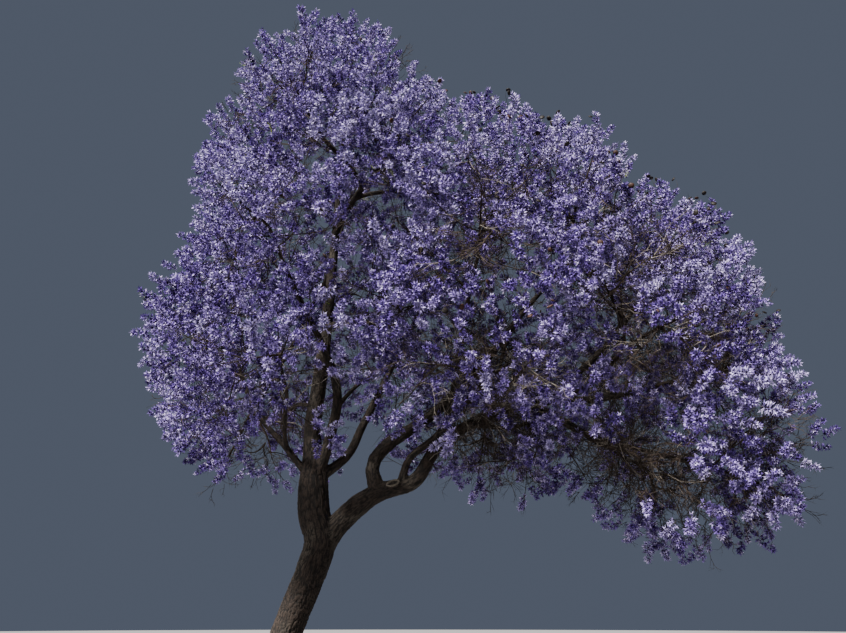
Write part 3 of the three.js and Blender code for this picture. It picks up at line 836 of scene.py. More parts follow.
def tubes(paths, radii, sides):
    """Closed tubes along paths, each with a flat foot and a pointed tip, as points and triangles."""
    count, steps = radii.shape
    rings, _, _ = rings_along(paths, radii, sides)
    points = np.concatenate((rings[:, :-1].reshape(count, -1, 3), paths[:, -1:]), axis=1)
    i = np.arange(sides)
    j = (i + 1) % sides
    tip = (steps - 1) * sides
    faces = [np.stack((np.zeros(sides - 2, int), i[2:], i[1:-1]), axis=1)]
    for base in range(0, tip - sides, sides):
        faces.append(np.stack((base + i, base + j, base + sides + j), axis=1))
        faces.append(np.stack((base + i, base + sides + j, base + sides + i), axis=1))
    faces.append(np.stack((tip - sides + i, tip - sides + j, np.full(sides, tip)), axis=1))
    faces = np.concatenate(faces)
    offsets = np.arange(count) * points.shape[1]
    return points.reshape(-1, 3), (faces + offsets[:, None, None]).reshape(-1, 3)


def tapered(first, last, steps):
    """Radii that go evenly from first to last."""
    return first[:, None] + (last - first)[:, None] * np.linspace(0, 1, steps)[None]


def even_taper(count, first, last, steps):
    """The same taper for each of a number of paths."""
    return tapered(np.full(count, float(first)), np.full(count, float(last)), steps)


def joined(parts):
    """Points and triangles of several parts as one."""
    offsets = np.cumsum([0] + [len(points) for points, _ in parts[:-1]])
    points = np.concatenate([points for points, _ in parts])
    return points, np.concatenate([faces + offset for (_, faces), offset in zip(parts, offsets)])


def copies(shape, matrices, places):
    """Copies of a shape, each turned and scaled by its matrix and put in its place."""
    points, faces = shape
    moved = np.einsum("nij,pj->npi", matrices, points) + places[:, None]
    offsets = np.arange(len(places)) * len(points)
    return moved.reshape(-1, 3), (faces + offsets[:, None, None]).reshape(-1, 3)


def turned_to(ways, spins):
    """Rotations that take Z to each way, after a spin about Z."""
    ways = unit(ways)
    hint = np.where(np.abs(ways[:, 2:]) > STEEP, (1.0, 0, 0), UP)
    side = unit(np.cross(hint, ways))
    other = np.cross(ways, side)
    cos, sin = np.cos(spins)[:, None], np.sin(spins)[:, None]
    return np.stack((side * cos + other * sin, other * cos - side * sin, ways), axis=2)


def shape_of(bm):
    """A bmesh's points and triangles as arrays. The bmesh is freed."""
    bmesh.ops.triangulate(bm, faces=bm.faces)
    bm.verts.index_update()
    points = np.array([v.co for v in bm.verts])
    faces = np.array([[v.index for v in face.verts] for face in bm.faces])
    bm.free()
    return points, faces


def mesh_of(bm, name):
    """A mesh from a bmesh, which is freed."""
    mesh = bpy.data.meshes.new(name)
    bm.to_mesh(mesh)
    bm.free()
    return mesh


def mesh_from(name, shape):
    """A flat-shaded mesh from points and triangles."""
    points, faces = shape
    mesh = bpy.data.meshes.new(name)
    mesh.vertices.add(len(points))
    mesh.vertices.foreach_set("co", np.asarray(points, np.float32).ravel())
    mesh.loops.add(faces.size)
    mesh.loops.foreach_set("vertex_index", faces.astype(np.int32).ravel())
    mesh.polygons.add(len(faces))
    mesh.polygons.foreach_set("loop_start", np.arange(0, faces.size, 3, dtype=np.int32))
    mesh.polygons.foreach_set("use_smooth", np.zeros(len(faces), bool))
    mesh.update(calc_edges=True)
    return mesh


def add_attribute(mesh, name, values):
    """Gives each point of a mesh a number or a vector."""
    values = np.asarray(values, np.float32)
    kind, field = ("FLOAT_VECTOR", "vector") if values.ndim > 1 else ("FLOAT", "value")
    mesh.attributes.new(name, kind, "POINT").data.foreach_set(field, values.ravel())


def tree_of(points):
    """A tree that finds the nearest of some points."""
    tree = kdtree.KDTree(len(points))
    for index, point in enumerate(points):
        tree.insert(point, index)
    tree.balance()
    return tree


def nearest_of(points, places):
    """For each place, the nearest of some points."""
    tree = tree_of(points)
    return points[[tree.find(place)[1] for place in places]]


def in_model_box(points, proud=0.0):
    """For each point, whether it lies in the model's box."""
    low, high = np.array(MODEL_BOUNDS[0]) - proud, np.array(MODEL_BOUNDS[1]) + proud
    return ((points > low) & (points < high)).all(axis=1)


def drift(places, size, shift):
    """A slow change from place to place, about -0.6 to 0.6."""
    return np.array([noise.noise(Vector(place / size + shift)) for place in places])


def link_new(name, data):
    """A new object in the scene."""
    item = bpy.data.objects.new(name, data)
    bpy.context.scene.collection.objects.link(item)
    return item


def add_piece(mesh, materials, nodes=()):
    """A piece that rides on the tree, takes its finish from a slot and stands for nodes."""
    piece = link_new(mesh.name, mesh)
    for material in materials:
        mesh.materials.append(material)
    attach(piece, "root")
    if nodes:
        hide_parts(*nodes)


# Finishes

class Socket:
    """A shader socket on which Python's arithmetic adds Math nodes."""

    def __init__(self, finish, socket):
        self.finish = finish
        self.socket = socket

    def math(self, operation, first, second):
        """A Math node on two values."""
        return self.finish.node("ShaderNodeMath", {"operation": operation}, {0: first, 1: second})

    def __add__(self, other):
        return self.math("ADD", self, other)

    def __sub__(self, other):
        return self.math("SUBTRACT", self, other)

    def __rsub__(self, other):
        return self.math("SUBTRACT", other, self)

    def __mul__(self, other):
        return self.math("MULTIPLY", self, other)

    __radd__ = __add__
    __rmul__ = __mul__


class Finish:
    """A material: a Principled shader and the nodes before it."""

    def __init__(self, name, roughness, gloss=0.5):
        self.material = bpy.data.materials.new(name)
        self.material.use_nodes = True
        self.tree = self.material.node_tree
        self.shader = next(n for n in self.tree.nodes if n.type == "BSDF_PRINCIPLED")
        self.shader.inputs["Roughness"].default_value = roughness
        self.shader.inputs["Specular IOR Level"].default_value = gloss

    def node(self, kind, settings=None, values=None, output=0):
        """A node with its settings made first and then its sockets' values or links."""
        node = self.tree.nodes.new(kind)
        for name, setting in (settings or {}).items():
            if name == "stops":
                self.set_stops(node.color_ramp, setting)
            else:
                setattr(node, name, setting)
        for name, value in (values or {}).items():
            self.feed(node.inputs[name], value)
        return Socket(self, node.outputs[output])

    def set_stops(self, ramp, stops):
        """Gives a ramp its stops, each a place and a colour."""
        while len(ramp.elements) < len(stops):
            ramp.elements.new(1)
        for element, (place, colour) in zip(ramp.elements, stops):
            element.position = place
            element.color = (*colour, 1)

    def feed(self, target, value):
        """Links a socket to a target, or sets the target's own value."""
        if isinstance(value, Socket):
            self.tree.links.new(value.socket, target)
        elif isinstance(value, (tuple, list)) and target.type == "RGBA":
            target.default_value = (*value[:3], 1)
        else:
            target.default_value = value

    def place(self):
        """The point in the tree's own coordinates."""
        return self.node("ShaderNodeTexCoord", output="Object")

    def attribute(self, name, output):
        """An attribute of the mesh."""
        return self.node("ShaderNodeAttribute", {"attribute_name": name}, output=output)

    def noise(self, vector, scale, detail=2.0, stretch=None):
        """Noise from 0 to 1."""
        if stretch:
            vector = self.node("ShaderNodeMapping", None, {"Vector": vector, "Scale": stretch})
        return self.node("ShaderNodeTexNoise", None, {"Vector": vector, "Scale": scale, "Detail": detail})

    def span(self, value, low, high):
        """A value's place between two bounds, as 0 to 1."""
        return self.node(
            "ShaderNodeMapRange",
            {"interpolation_type": "SMOOTHSTEP"},
            {"Value": value, "From Min": low, "From Max": high},
        )

    def mix(self, factor, first, second):
        """A blend of two colours."""
        return self.node("ShaderNodeMix", {"data_type": "RGBA"}, {0: factor, 6: first, 7: second}, output=2)

    def colour(self, value):
        """Sets or links the base colour."""
        self.feed(self.shader.inputs["Base Color"], value)

    def bump(self, height, distance, strength):
        """Links a height to the normal."""
        values = {"Height": height, "Distance": distance, "Strength": strength}
        self.feed(self.shader.inputs["Normal"], self.node("ShaderNodeBump", None, values))


def shade(colour, factor):
    """A colour made darker or lighter."""
    return tuple(min(channel * factor, 1) for channel in colour[:3])


def bark_finish(settings):
    """Grey-brown bark, darkened as painted shade from the crown: darkest in the fissures, partly with painted
    shade, paler on the plates, with grey weathered patches.
    """
    finish = Finish("bark", roughness=0.88, gloss=0.25)
    grain = finish.attribute("grain", "Vector")
    relief = finish.attribute("relief", "Fac")
    fine = finish.noise(grain, scale=55, detail=4, stretch=(1, 1, 0.28))
    patches = finish.span(finish.noise(finish.place(), scale=2.3, detail=3), low=0.48, high=0.68)
    plates = finish.mix(fine, shade(settings.plate_colour, 0.62), shade(settings.plate_colour, 1.38))
    weathered = finish.mix(patches * 0.55, plates, settings.weathered_colour[:3])
    # Near black at the bottom of the fissures: the fissures' own darker bark with painted shade in them.
    height = finish.span(relief * 0.6 + fine * 0.9, low=0.42, high=1.0)
    finish.colour(finish.mix(height, settings.fissure_colour[:3], weathered))
    finish.bump(fine, distance=0.006, strength=0.7)
    return finish.material


def twig_finish(name, dark, light):
    """Thin bark that changes a little from twig to twig."""
    finish = Finish(name, roughness=0.8, gloss=0.1)
    change = finish.span(finish.noise(finish.place(), scale=9), low=0.35, high=0.65)
    finish.colour(finish.mix(change, dark, light))
    return finish.material


def petal_finish(name, colour, glint):
    """Petals: one tint, from painted shade through the tint to a painted glint by each flower's random
    brightness, with soft folds.
    """
    finish = Finish(name, roughness=0.7, gloss=0.12)
    tone = finish.attribute("tone", "Fac")
    folds = finish.noise(finish.place(), scale=45, detail=1)
    # Painted light on the petals: the ramp runs from painted shade through the tint to a painted glint,
    # picked by each flower's random brightness.
    pale = tuple(channel + (white - channel) * glint for channel, white in zip(colour, GLINT))
    ramp = {"stops": ((0, shade(colour, 0.22)), (0.5, colour), (1, pale))}
    finish.colour(finish.node("ShaderNodeValToRGB", ramp, {"Fac": tone * 0.8 + folds * 0.25}))
    return finish.material


def pod_finish():
    """Woody pods: near black, some of them red-brown."""
    finish = Finish("pod", roughness=0.6, gloss=0.2)
    ripe = finish.span(finish.noise(finish.place(), scale=1.7, detail=0), low=0.52, high=0.62)
    grain = finish.noise(finish.place(), scale=60, detail=3)
    aged = finish.mix(ripe, POD_BROWN, POD_RED)
    finish.colour(finish.mix(grain, POD_SHADOW, aged))
    finish.bump(grain, distance=0.003, strength=0.5)
    return finish.material


def cut_finish():
    """Weathered end grain with its rings, dark in the rotted middle."""
    finish = Finish("pruning cut", roughness=0.9, gloss=0.1)
    grain = finish.attribute("grain", "Vector")
    rings = finish.node(
        "ShaderNodeTexWave",
        {"wave_type": "RINGS", "rings_direction": "SPHERICAL"},
        {"Vector": grain, "Scale": 26, "Distortion": 2.2, "Detail": 2},
        output="Fac",
    )
    away = finish.node("ShaderNodeVectorMath", {"operation": "LENGTH"}, {0: grain}, output="Value")
    sound = finish.span(away + rings * 0.014, low=0.02, high=0.052)
    wood = finish.mix(rings, CUT_GREY, CUT_PALE)
    finish.colour(finish.mix(sound, CUT_ROT, wood))
    finish.bump(rings, distance=0.002, strength=0.6)
    return finish.material


# Bark

@dataclass(eq=False)
class Wood:
    """A stretch of trunk or limb in metres: its axis, radii, rings and the length before it."""
    path: np.ndarray
    radii: np.ndarray
    rings: np.ndarray
    spokes: np.ndarray
    ups: np.ndarray
    start: float = 0.0


def path_length(path):
    """The length of a path."""
    return length_of(np.diff(path, axis=0)).sum()


def wander(count, length, random):
    """A gentle sideways wander along a limb that is nothing at its ends."""
    shares = np.linspace(0, 1, count)
    waves = max(1, round(length / WAVE_LENGTH))
    wave = np.zeros((count, 3))
    for number in range(1, waves + 2):
        wave += np.sin(math.pi * number * shares)[:, None] * random.normal(size=3) / number ** 0.5
    return wave * WOBBLE / 2


def wood_along(path, radii, sides, start=0.0):
    """A stretch of wood from an axis and radii in millimetres."""
    rings, spokes, ups = rings_along(path[None] * MM, radii[None] * MM, sides)
    return Wood(path * MM, radii * MM, rings[0], spokes[0], ups[0], start)


@functools.cache
def trunk_wood():
    """The trunk: a leaning, flared stretch with root lobes, in level rings."""
    path = evenly_along(smooth_curve(TRUNK_KNOTS), TRUNK_RINGS)
    levels = np.linspace(0, 1, TRUNK_RINGS + 1)[:, None]
    flare = np.exp(-path[:, 2:] / FLARE_HEIGHT)
    turns = 2 * math.pi * np.arange(TRUNK_SIDES)[None] / TRUNK_SIDES
    buttress = ROOT_LOBE_SHARE * flare * np.cos(ROOT_LOBES * turns + ROOT_TURN)
    oval = OVAL_SHARE * np.cos(2 * turns)
    crest = np.clip((levels - (1 - CREST_SHARE)) / CREST_SHARE, 0, 1)
    full = TRUNK_RADIUS + TRUNK_SWELL * levels + FLARE_RADIUS * flare
    full = full * (1 - CREST_NARROWING * crest ** 2)
    radii = full * (1 + buttress + oval)
    ways = np.stack((np.cos(turns), np.sin(turns), np.zeros_like(turns)), axis=2)
    rings = (path[:, None] + ways * radii[:, :, None]) * MM
    spokes = np.tile((1.0, 0, 0), (len(path), 1))
    ups = np.tile((0.0, 1, 0), (len(path), 1))
    return Wood(path * MM, full[:, 0] * MM, rings, spokes, ups)


def leader_wood(leader):
    """A leader as wood, on from the trunk's fork."""
    path = evenly_along(leader.curve, LEADER_RINGS)
    shares = np.linspace(0, 1, LEADER_RINGS + 1)
    radii = np.interp(shares, np.linspace(0, 1, len(leader.radii)), leader.radii)
    return wood_along(path, radii, LIMB_SIDES, path_length(np.array(TRUNK_KNOTS[:4], float)) * MM)


def bough_wood(bough, limb, parent, random):
    """A bough as wood: a wandering axis from its parent's own, with a collar where it leaves it."""
    path = evenly_along(bough.curve, BOUGH_RINGS)
    length = path_length(path)
    path = path + wander(BOUGH_RINGS + 1, length, random)
    share = bough.at / (len(limb.path) - 1)
    foot = parent.path[round(share * (len(parent.path) - 1))] / MM
    path = path + (foot - path[0]) * np.linspace(1, 0, BOUGH_RINGS + 1)[:, None] ** 3
    shares = np.linspace(0, 1, BOUGH_RINGS + 1)
    radii = np.interp(shares, np.linspace(0, 1, len(bough.radii)), bough.radii)
    reach = COLLAR_REACH * limb.radii[bough.at]
    along = np.linspace(0, length, BOUGH_RINGS + 1)
    radii = radii * (1 + COLLAR * np.exp(-((along / reach) ** 2)))
    radii = np.minimum(radii, THICKEST_FOOT * limb.radii[bough.at])
    return wood_along(path, radii, LIMB_SIDES, parent.start + share * path_length(parent.path))


@functools.cache
def limb_woods():
    """Each leader and bough as wood, in the order in which they grow."""
    random = generator("wander")
    limbs = grown_limbs()
    woods = []
    for limb in limbs:
        if limb.parent < 0:
            woods.append(leader_wood(limb))
        else:
            woods.append(bough_wood(limb, limbs[limb.parent], woods[limb.parent], random))
    return woods


def part_of(wood, first, last, sink_first=False, sink_last=False):
    """A stretch of wood between two shares of its length, thinner where it sinks into another."""
    steps = len(wood.path) - 1
    a, b = round(first * steps), round(last * steps)
    radii = wood.radii[a:b + 1].copy()
    if sink_first:
        radii[0] *= SINK
    if sink_last:
        radii[-1] *= SINK
    before = path_length(wood.path[:a + 1])
    return wood_along(wood.path[a:b + 1] / MM, radii / MM, wood.rings.shape[1], wood.start + before)


def draw_wood(bm, wood):
    """A closed tube through a wood's rings, bridged one after the other."""
    loops = []
    for ring in wood.rings:
        corners = bmesh.ops.create_circle(bm, segments=len(ring), radius=1)["verts"]
        for corner, place in zip(corners, ring):
            corner.co = place
        loops.append(list({edge for corner in corners for edge in corner.link_edges}))
    bmesh.ops.contextual_create(bm, geom=loops[0])
    bmesh.ops.contextual_create(bm, geom=loops[-1])
    for loop, following in zip(loops[:-1], loops[1:]):
        bmesh.ops.bridge_loops(bm, edges=loop + following)


def skin_over(name, woods, voxel):
    """One skin over overlapping stretches of wood."""
    bm = bmesh.new()
    for wood in woods:
        draw_wood(bm, wood)
    bmesh.ops.recalc_face_normals(bm, faces=bm.faces)
    mesh = mesh_of(bm, name + "_rough")
    rough = link_new(name + "_rough", mesh)
    remesh = rough.modifiers.new("Skin", "REMESH")
    remesh.mode = "VOXEL"
    remesh.voxel_size = voxel
    smooth = rough.modifiers.new("Soften", "SMOOTH")
    smooth.factor = 0.5
    smooth.iterations = SKIN_SMOOTHING
    graph = bpy.context.evaluated_depsgraph_get()
    skin = bpy.data.meshes.new_from_object(rough.evaluated_get(graph))
    bpy.data.objects.remove(rough)
    bpy.data.meshes.remove(mesh)
    skin.name = name
    return skin


def noise_on(grain, fineness, shift):
    """Noise from about -1 to 1 at a place on the grain."""
    return noise.noise(Vector(grain * fineness + shift))


def bark_relief(grain):
    """How high bark stands at a place on its grain, from 0 in a fissure to 1 on a plate."""
    plate = 1 - math.exp(-((noise_on(grain, *FURROWS) / FURROW_WIDTH) ** 2))
    unbroken = 1 - CRACK_DEPTH * math.exp(-((noise_on(grain, *CRACKS) / CRACK_WIDTH) ** 2))
    return plate * unbroken * (PLATE_HEIGHT + FLAKE_HEIGHT * noise_on(grain, *FLAKES))


def grain_of(points, woods):
    """Each point's place on the bark's grain, two ways across it and along it, and its limb's radius."""
    alongs = [
        wood.start + np.concatenate(((0,), np.cumsum(length_of(np.diff(wood.path, axis=0)))))
        for wood in woods
    ]
    places = np.concatenate([wood.path for wood in woods])
    radii = np.concatenate([wood.radii for wood in woods])
    spokes = np.concatenate([wood.spokes for wood in woods])
    ups = np.concatenate([wood.ups for wood in woods])
    tree = tree_of(places)
    nearest = np.array([
        min(tree.find_n(point, NEAR_SAMPLES), key=lambda found: found[2] - radii[found[1]])[1]
        for point in points
    ])
    away = points - places[nearest]
    spokes, ups = spokes[nearest], ups[nearest]
    along = np.concatenate(alongs)[nearest] + dot(away, np.cross(spokes, ups))
    return np.stack((dot(away, spokes), dot(away, ups), along), axis=1), radii[nearest]


def add_bark(mesh, woods, depth):
    """Gives a skin the coordinates of its bark, and its relief in the mesh itself."""
    points = np.empty(len(mesh.vertices) * 3, np.float32)
    normals = np.empty_like(points)
    mesh.vertices.foreach_get("co", points)
    mesh.vertex_normals.foreach_get("vector", normals)
    points, normals = points.reshape(-1, 3).astype(float), normals.reshape(-1, 3)
    grain, thick = grain_of(points, woods)
    relief = np.array([bark_relief(place) for place in grain])
    lumps = np.array([noise.noise(Vector(point * LUMP_FINENESS)) for point in points])
    height = (relief - RELIEF_LEVEL) * depth * np.minimum(1, thick / FULL_RELIEF_RADIUS)
    height = height + lumps * thick * LUMP_SHARE
    points += normals * height[:, None]
    points[:, 2] = np.maximum(points[:, 2], 0)
    mesh.vertices.foreach_set("co", points.astype(np.float32).ravel())
    add_attribute(mesh, "grain", grain)
    add_attribute(mesh, "relief", relief)
    mesh.polygons.foreach_set("use_smooth", np.ones(len(mesh.polygons), bool))
    mesh.update()


def stub_wood():
    """The stub that an old pruning cut left on the right leader."""
    steps = np.linspace(0, STUB_LENGTH, len(STUB_TAPER))[:, None]
    path = np.array(STUB_PLACE, float) + unit(STUB_WAY) * steps
    wood = wood_along(path, STUB_RADIUS * STUB_TAPER, LIMB_SIDES)
    along = unit(STUB_ALONG)
    away = wood.rings - wood.path[:, None]
    wood.rings = wood.rings + dot(away, along)[..., None] * along * (STUB_STRETCH - 1)
    return wood


def pruning_cut(wood):
    """The stub's sawn face: an oval a little proud of the bark, with a hollow rotted in its middle."""
    bm = bmesh.new()
    way = Vector(unit(STUB_WAY))
    end = Vector(wood.path[-1])
    turn = way.to_track_quat("Z", "Y").to_matrix().to_4x4()
    oval = Matrix.Scale(STUB_STRETCH, 4, Vector(unit(STUB_ALONG)))
    centre = Matrix.Translation(end + way * CUT_PROUD)
    radius = STUB_RADIUS * MM * CUT_SHARE
    disc = bmesh.ops.create_circle(
        bm, cap_ends=True, segments=CUT_SIDES, radius=radius, matrix=centre @ oval @ turn)
    bmesh.ops.solidify(bm, geom=[disc["verts"][0].link_faces[0]], thickness=CUT_THICKNESS)
    bmesh.ops.recalc_face_normals(bm, faces=bm.faces)
    top = max(bm.faces, key=lambda face: face.normal.dot(way) * len(face.verts))
    for depth in CUT_DEPTHS:
        bmesh.ops.inset_region(bm, faces=[top], thickness=CUT_STEP, depth=depth)
    bmesh.ops.triangulate(bm, faces=[face for face in bm.faces if len(face.verts) > 4])
    mesh = mesh_of(bm, "pruning_cut")
    add_attribute(mesh, "grain", [v.co - end for v in mesh.vertices])
    return mesh


# Twigs and the places of panicles

def bent(feet, tips, steps, bend, random):
    """Paths from feet to tips that bow a little to one side."""
    shares = np.linspace(0, 1, steps)[None, :, None]
    away = tips - feet
    bow = np.cross(away, random.normal(size=feet.shape)) * bend
    return feet[:, None] + away[:, None] * shares + bow[:, None] * (4 * shares * (1 - shares))


def stem_tubes():
    """The source's stems, from inside each bough's tip on through their own cluster."""
    paths = []
    for stem, *_ in grown_masses():
        start = stem.path[0] - unit(stem.path[1] - stem.path[0]) * STEM_SINK
        end = stem.path[-1] + stem.way * CLUSTER_LENGTH * AXIS_SHARE
        paths.append(evenly_along(smooth_curve([start, *stem.path[1:], end]), STEM_STEPS))
    paths = np.array(paths)
    radii = even_taper(len(paths), TIP_RADIUS, STEM_END_RADIUS, STEM_STEPS + 1)
    return tubes(paths * MM, radii * MM, STEM_SIDES)


def twig_tubes():
    """The source's twigs, bowed, and carried on through their clusters."""
    twigs = [twig for _, *others in grown_masses() for twig in others]
    feet, necks = (np.array([twig.path[end] for twig in twigs]) for end in (0, 1))
    ways = np.array([twig.way for twig in twigs])
    sizes = np.array([twig.size for twig in twigs])
    thick = [min(TWIG_TIP_RADIUS * math.sqrt(twig.load), THICKEST_TWIG) for twig in twigs]
    bowed = bent(feet, necks, TWIG_STEPS, TWIG_BEND, generator("twigs"))
    shares = np.linspace(0, 1, AXIS_STEPS)[1:, None]
    lengths = (CLUSTER_LENGTH * AXIS_SHARE * sizes)[:, None, None]
    paths = np.concatenate((bowed, necks[:, None] + ways[:, None] * lengths * shares), axis=1)
    radii = np.concatenate((
        tapered(np.array(thick), np.full(len(thick), NECK_RADIUS), TWIG_STEPS),
        even_taper(len(thick), NECK_RADIUS, AXIS_END_RADIUS, AXIS_STEPS)[:, 1:],
    ), axis=1)
    return tubes(paths * MM, radii * MM, TWIG_SIDES)


def cluster_panicles(twig, panicles, random):
    """The panicles of one cluster, in metres: rows of foot, way, size and root on the cluster's axis."""
    neck, way = twig.path[-1] * MM, twig.way
    count = round(panicles * twig.size)
    length, width = CLUSTER_LENGTH * MM * twig.size, CLUSTER_WIDTH * MM * twig.size
    side = unit(np.cross(way, (0.3, 0.2, 1.0) if abs(way[2]) < STEEP else (1.0, 0, 0)))
    up = np.cross(way, side)
    phase = random.uniform(0, 2 * math.pi)
    rows = []
    for j in range(count):
        share = (j + random.uniform(0.2, 0.8)) / count
        turn = phase + j * GOLDEN_ANGLE + random.normal() * 0.3
        radial = side * math.cos(turn) + up * math.sin(turn)
        profile = math.sin(math.pi * min(1, 0.12 + 0.86 * share)) ** 0.7
        out = width / 2 * profile * random.uniform(0.2, 0.65)
        along = (0.08 + 0.8 * share) * length
        root = neck + way * max(0, along - 0.16 - out * 0.5)
        lean = radial * (1.05 - 0.6 * share) + way * (0.25 + 0.9 * share) + UP * 0.22
        lean = unit(lean + random.normal(size=3) * 0.16)
        rows.append((neck + way * along + radial * out, lean, random.uniform(*PANICLE_GRADES), root))
    return rows


@functools.cache
def panicle_places():
    """The feet, ways, sizes and roots of the panicles in every cluster."""
    random = generator("panicles")
    panicles = bpy.context.scene.jacaranda_blossom.panicles
    clusters = [cluster_panicles(twig, panicles, random) for twigs in grown_masses() for twig in twigs]
    return [np.array(values) for values in zip(*[row for rows in clusters for row in rows])]


def twig_points():
    """Points along the source's stems and twigs and on through their clusters."""
    shares = np.linspace(0, 1, 9)[:, None]
    parts = []
    for twigs in grown_masses():
        for twig in twigs:
            path = [*twig.path, twig.path[-1] + twig.way * CLUSTER_LENGTH * AXIS_SHARE * twig.size]
            parts += [a + (b - a) * shares for a, b in zip(path[:-1], path[1:])]
    return np.concatenate(parts) * MM


def shell_darts(random):
    """Points in the crown's outer shell, away from its open heart."""
    low, high = FILLER_LEVELS
    darts = []
    for centre, reach in zip(LOBE_CENTRES, LOBE_REACHES):
        levels = random.uniform(low ** 3, high ** 3, FILLER_DARTS) ** (1 / 3)
        points = centre + unit(random.normal(size=(FILLER_DARTS, 3))) * reach * levels[:, None]
        own = crown_level(points) > levels - SAME_LEVEL
        darts.append(points[own & (length_of(points - HEART) > HEART_RADIUS)])
    return np.concatenate(darts) * MM


def widest_gaps(darts, taken, count):
    """The darts that fill the widest gaps between what is taken, one after the other."""
    gaps = length_of(nearest_of(taken, darts) - darts)
    picked = []
    for _ in range(count):
        best = int(np.argmax(gaps))
        picked.append(best)
        gaps = np.minimum(gaps, length_of(darts - darts[best]))
    return picked


def filler_places():
    """Panicles in the gaps that the clusters leave in the crown's shell, as panicle_places() has them."""
    random = generator("fillers")
    settings = bpy.context.scene.jacaranda_blossom
    darts = shell_darts(random)
    roots = nearest_of(twig_points(), darts)
    away = length_of(darts - roots)
    near = (away > FILLER_REACH[0]) & (away < FILLER_REACH[1])
    darts, roots = darts[near], roots[near]
    feet, outs, _, _ = panicle_places()
    picked = widest_gaps(darts, feet + outs * settings.panicle_length / 2, settings.fillers)
    feet, roots = darts[picked], roots[picked]
    lean = unit(feet - roots) * 0.5 + crown_normal(feet / MM) * 0.7 + UP * 0.15
    outs = unit(lean + random.normal(size=feet.shape) * 0.2)
    feet = feet - outs * settings.panicle_length / 2
    return feet, outs, random.uniform(*PANICLE_GRADES, len(feet)), roots


@functools.cache
def all_sprays():
    """The places of the clusters' panicles and of those between them, and which of them are bare."""
    groups = zip(panicle_places(), filler_places())
    feet, outs, grades, roots = (np.concatenate(group) for group in groups)
    reach = feet + outs * bpy.context.scene.jacaranda_blossom.panicle_length * grades[:, None]
    inside = in_model_box(reach, PROUD)
    under = np.clip(-crown_normal(feet / MM)[:, 2], 0, 1)
    below = under * np.clip(2.2 - crown_level(feet / MM) * 2, 0, 1)
    bare = drift(feet, GAP_SIZE, GAP_SHIFT) < GAP_LEVEL + GAPS_BELOW * below
    return feet[inside], outs[inside], grades[inside], roots[inside], bare[inside]


@functools.cache
def all_panicles():
    """The places of the sprays that are in flower."""
    *places, bare = all_sprays()
    return [values[~bare] for values in places]


def twiglet_tubes():
    """A twiglet from its cluster's axis, or from the nearest twig, to each panicle."""
    feet, outs, _, roots, _ = all_sprays()
    middles = (roots + feet) / 2 - outs * TWIGLET_SAG
    paths = np.stack((roots, middles, feet + outs * TWIGLET_OVERLAP), axis=1)
    return tubes(paths, even_taper(len(feet), *TWIGLET_RADII, 3), 3)


def shoot_tubes(random, feet, ways, lengths, thick, wild):
    """Forked bare shoots: each one with side shoots, and a twiglet on each of those."""
    tips = feet + unit(ways) * lengths[:, None]
    paths = bent(feet, tips, 4, SHOOT_BEND, random)
    parts = [tubes(paths, tapered(thick, thick * 0.35, 4), 3)]
    for share, part in SIDE_SHOOTS:
        step = share * 3
        low = int(step)
        starts = paths[:, low] + (paths[:, low + 1] - paths[:, low]) * (step - low)
        turned = unit(unit(ways) + random.normal(size=ways.shape) * wild)
        reach = lengths * part * random.uniform(0.7, 1.2, len(feet))
        side = bent(starts, starts + turned * reach[:, None], 3, SIDE_SHOOT_BEND, random)
        parts.append(tubes(side, tapered(thick * 0.6, thick * 0.25, 3), 3))
        turned = unit(turned + random.normal(size=ways.shape) * wild)
        ends = side[:, 1] + turned * (lengths * part * 0.5)[:, None]
        parts.append(tubes(bent(side[:, 1], ends, 2, 0, random), tapered(thick * 0.4, thick * 0.2, 2), 3))
    return joined(parts)


def thicket(places):
    """How near places are to the low right side of the crown, where bare twigs crowd."""
    level = np.exp(-((places[:, 2] - THICKET_HEIGHT) / THICKET_DEPTH) ** 2)
    return level * (THICKET_ELSEWHERE + (places[:, 0] > THICKET_SIDE))


def around_thicket(places):
    """How close bare twigs stand inside the crown: everywhere, and closest in the thicket."""
    return 1 + THICKET_CROWDING * thicket(places)


def bare_sprays(longest, wild):
    """Forked bare twigs in place of the panicles that have fallen, two for each in the thicket."""
    random = generator("bare sprays")
    *places, bare = all_sprays()
    counts = 1 + (thicket(places[0][bare]) > 0.5)
    feet, outs, grades, _ = (np.repeat(values[bare], counts, axis=0) for values in places)
    outs = unit(outs + random.normal(size=outs.shape) * SPRAY_SPREAD)
    lengths = grades * longest * random.uniform(*SPRAY_LENGTHS, len(feet))
    kept = in_model_box(feet + outs * lengths[:, None])
    thick = random.uniform(*SPRAY_RADII, len(feet))
    return shoot_tubes(random, feet[kept], outs[kept], lengths[kept], thick[kept], wild)


def shoots_from_twigs(use, count, crowding, longest, wild):
    """Bare shoots from the source's stems, twigs and limbs into the open inside of the crown."""
    random = generator(use)
    paths = [twig.path for twigs in grown_masses() for twig in twigs]
    paths += [limb.path[int((len(limb.path) - 1) * LIMB_BARE_SHARE):] for limb in grown_limbs()]
    starts, ends = (np.concatenate([path[part] for path in paths]) for part in (slice(-1), slice(1, None)))
    weights = length_of(ends - starts) * crowding((starts + ends) / 2 * MM)
    picked = random.choice(len(starts), count, p=weights / weights.sum())
    feet = (starts[picked] + (ends - starts)[picked] * random.uniform(0.1, 0.9, (count, 1))) * MM
    along = unit(ends - starts)[picked]
    ways = unit(along * 0.5 + random.normal(size=(count, 3)) * 0.75)
    lengths = random.uniform(*SHOOT_LENGTHS, count) * longest
    kept = in_model_box(feet + ways * lengths[:, None] * SHOOT_ROOM)
    thick = random.uniform(*SHOOT_RADII, count)
    return shoot_tubes(random, feet[kept], ways[kept], lengths[kept], thick[kept], wild)


# Flowers

def new_corners(result):
    """The corners that an operator made."""
    return [item for item in result["geom"] if isinstance(item, bmesh.types.BMVert)]


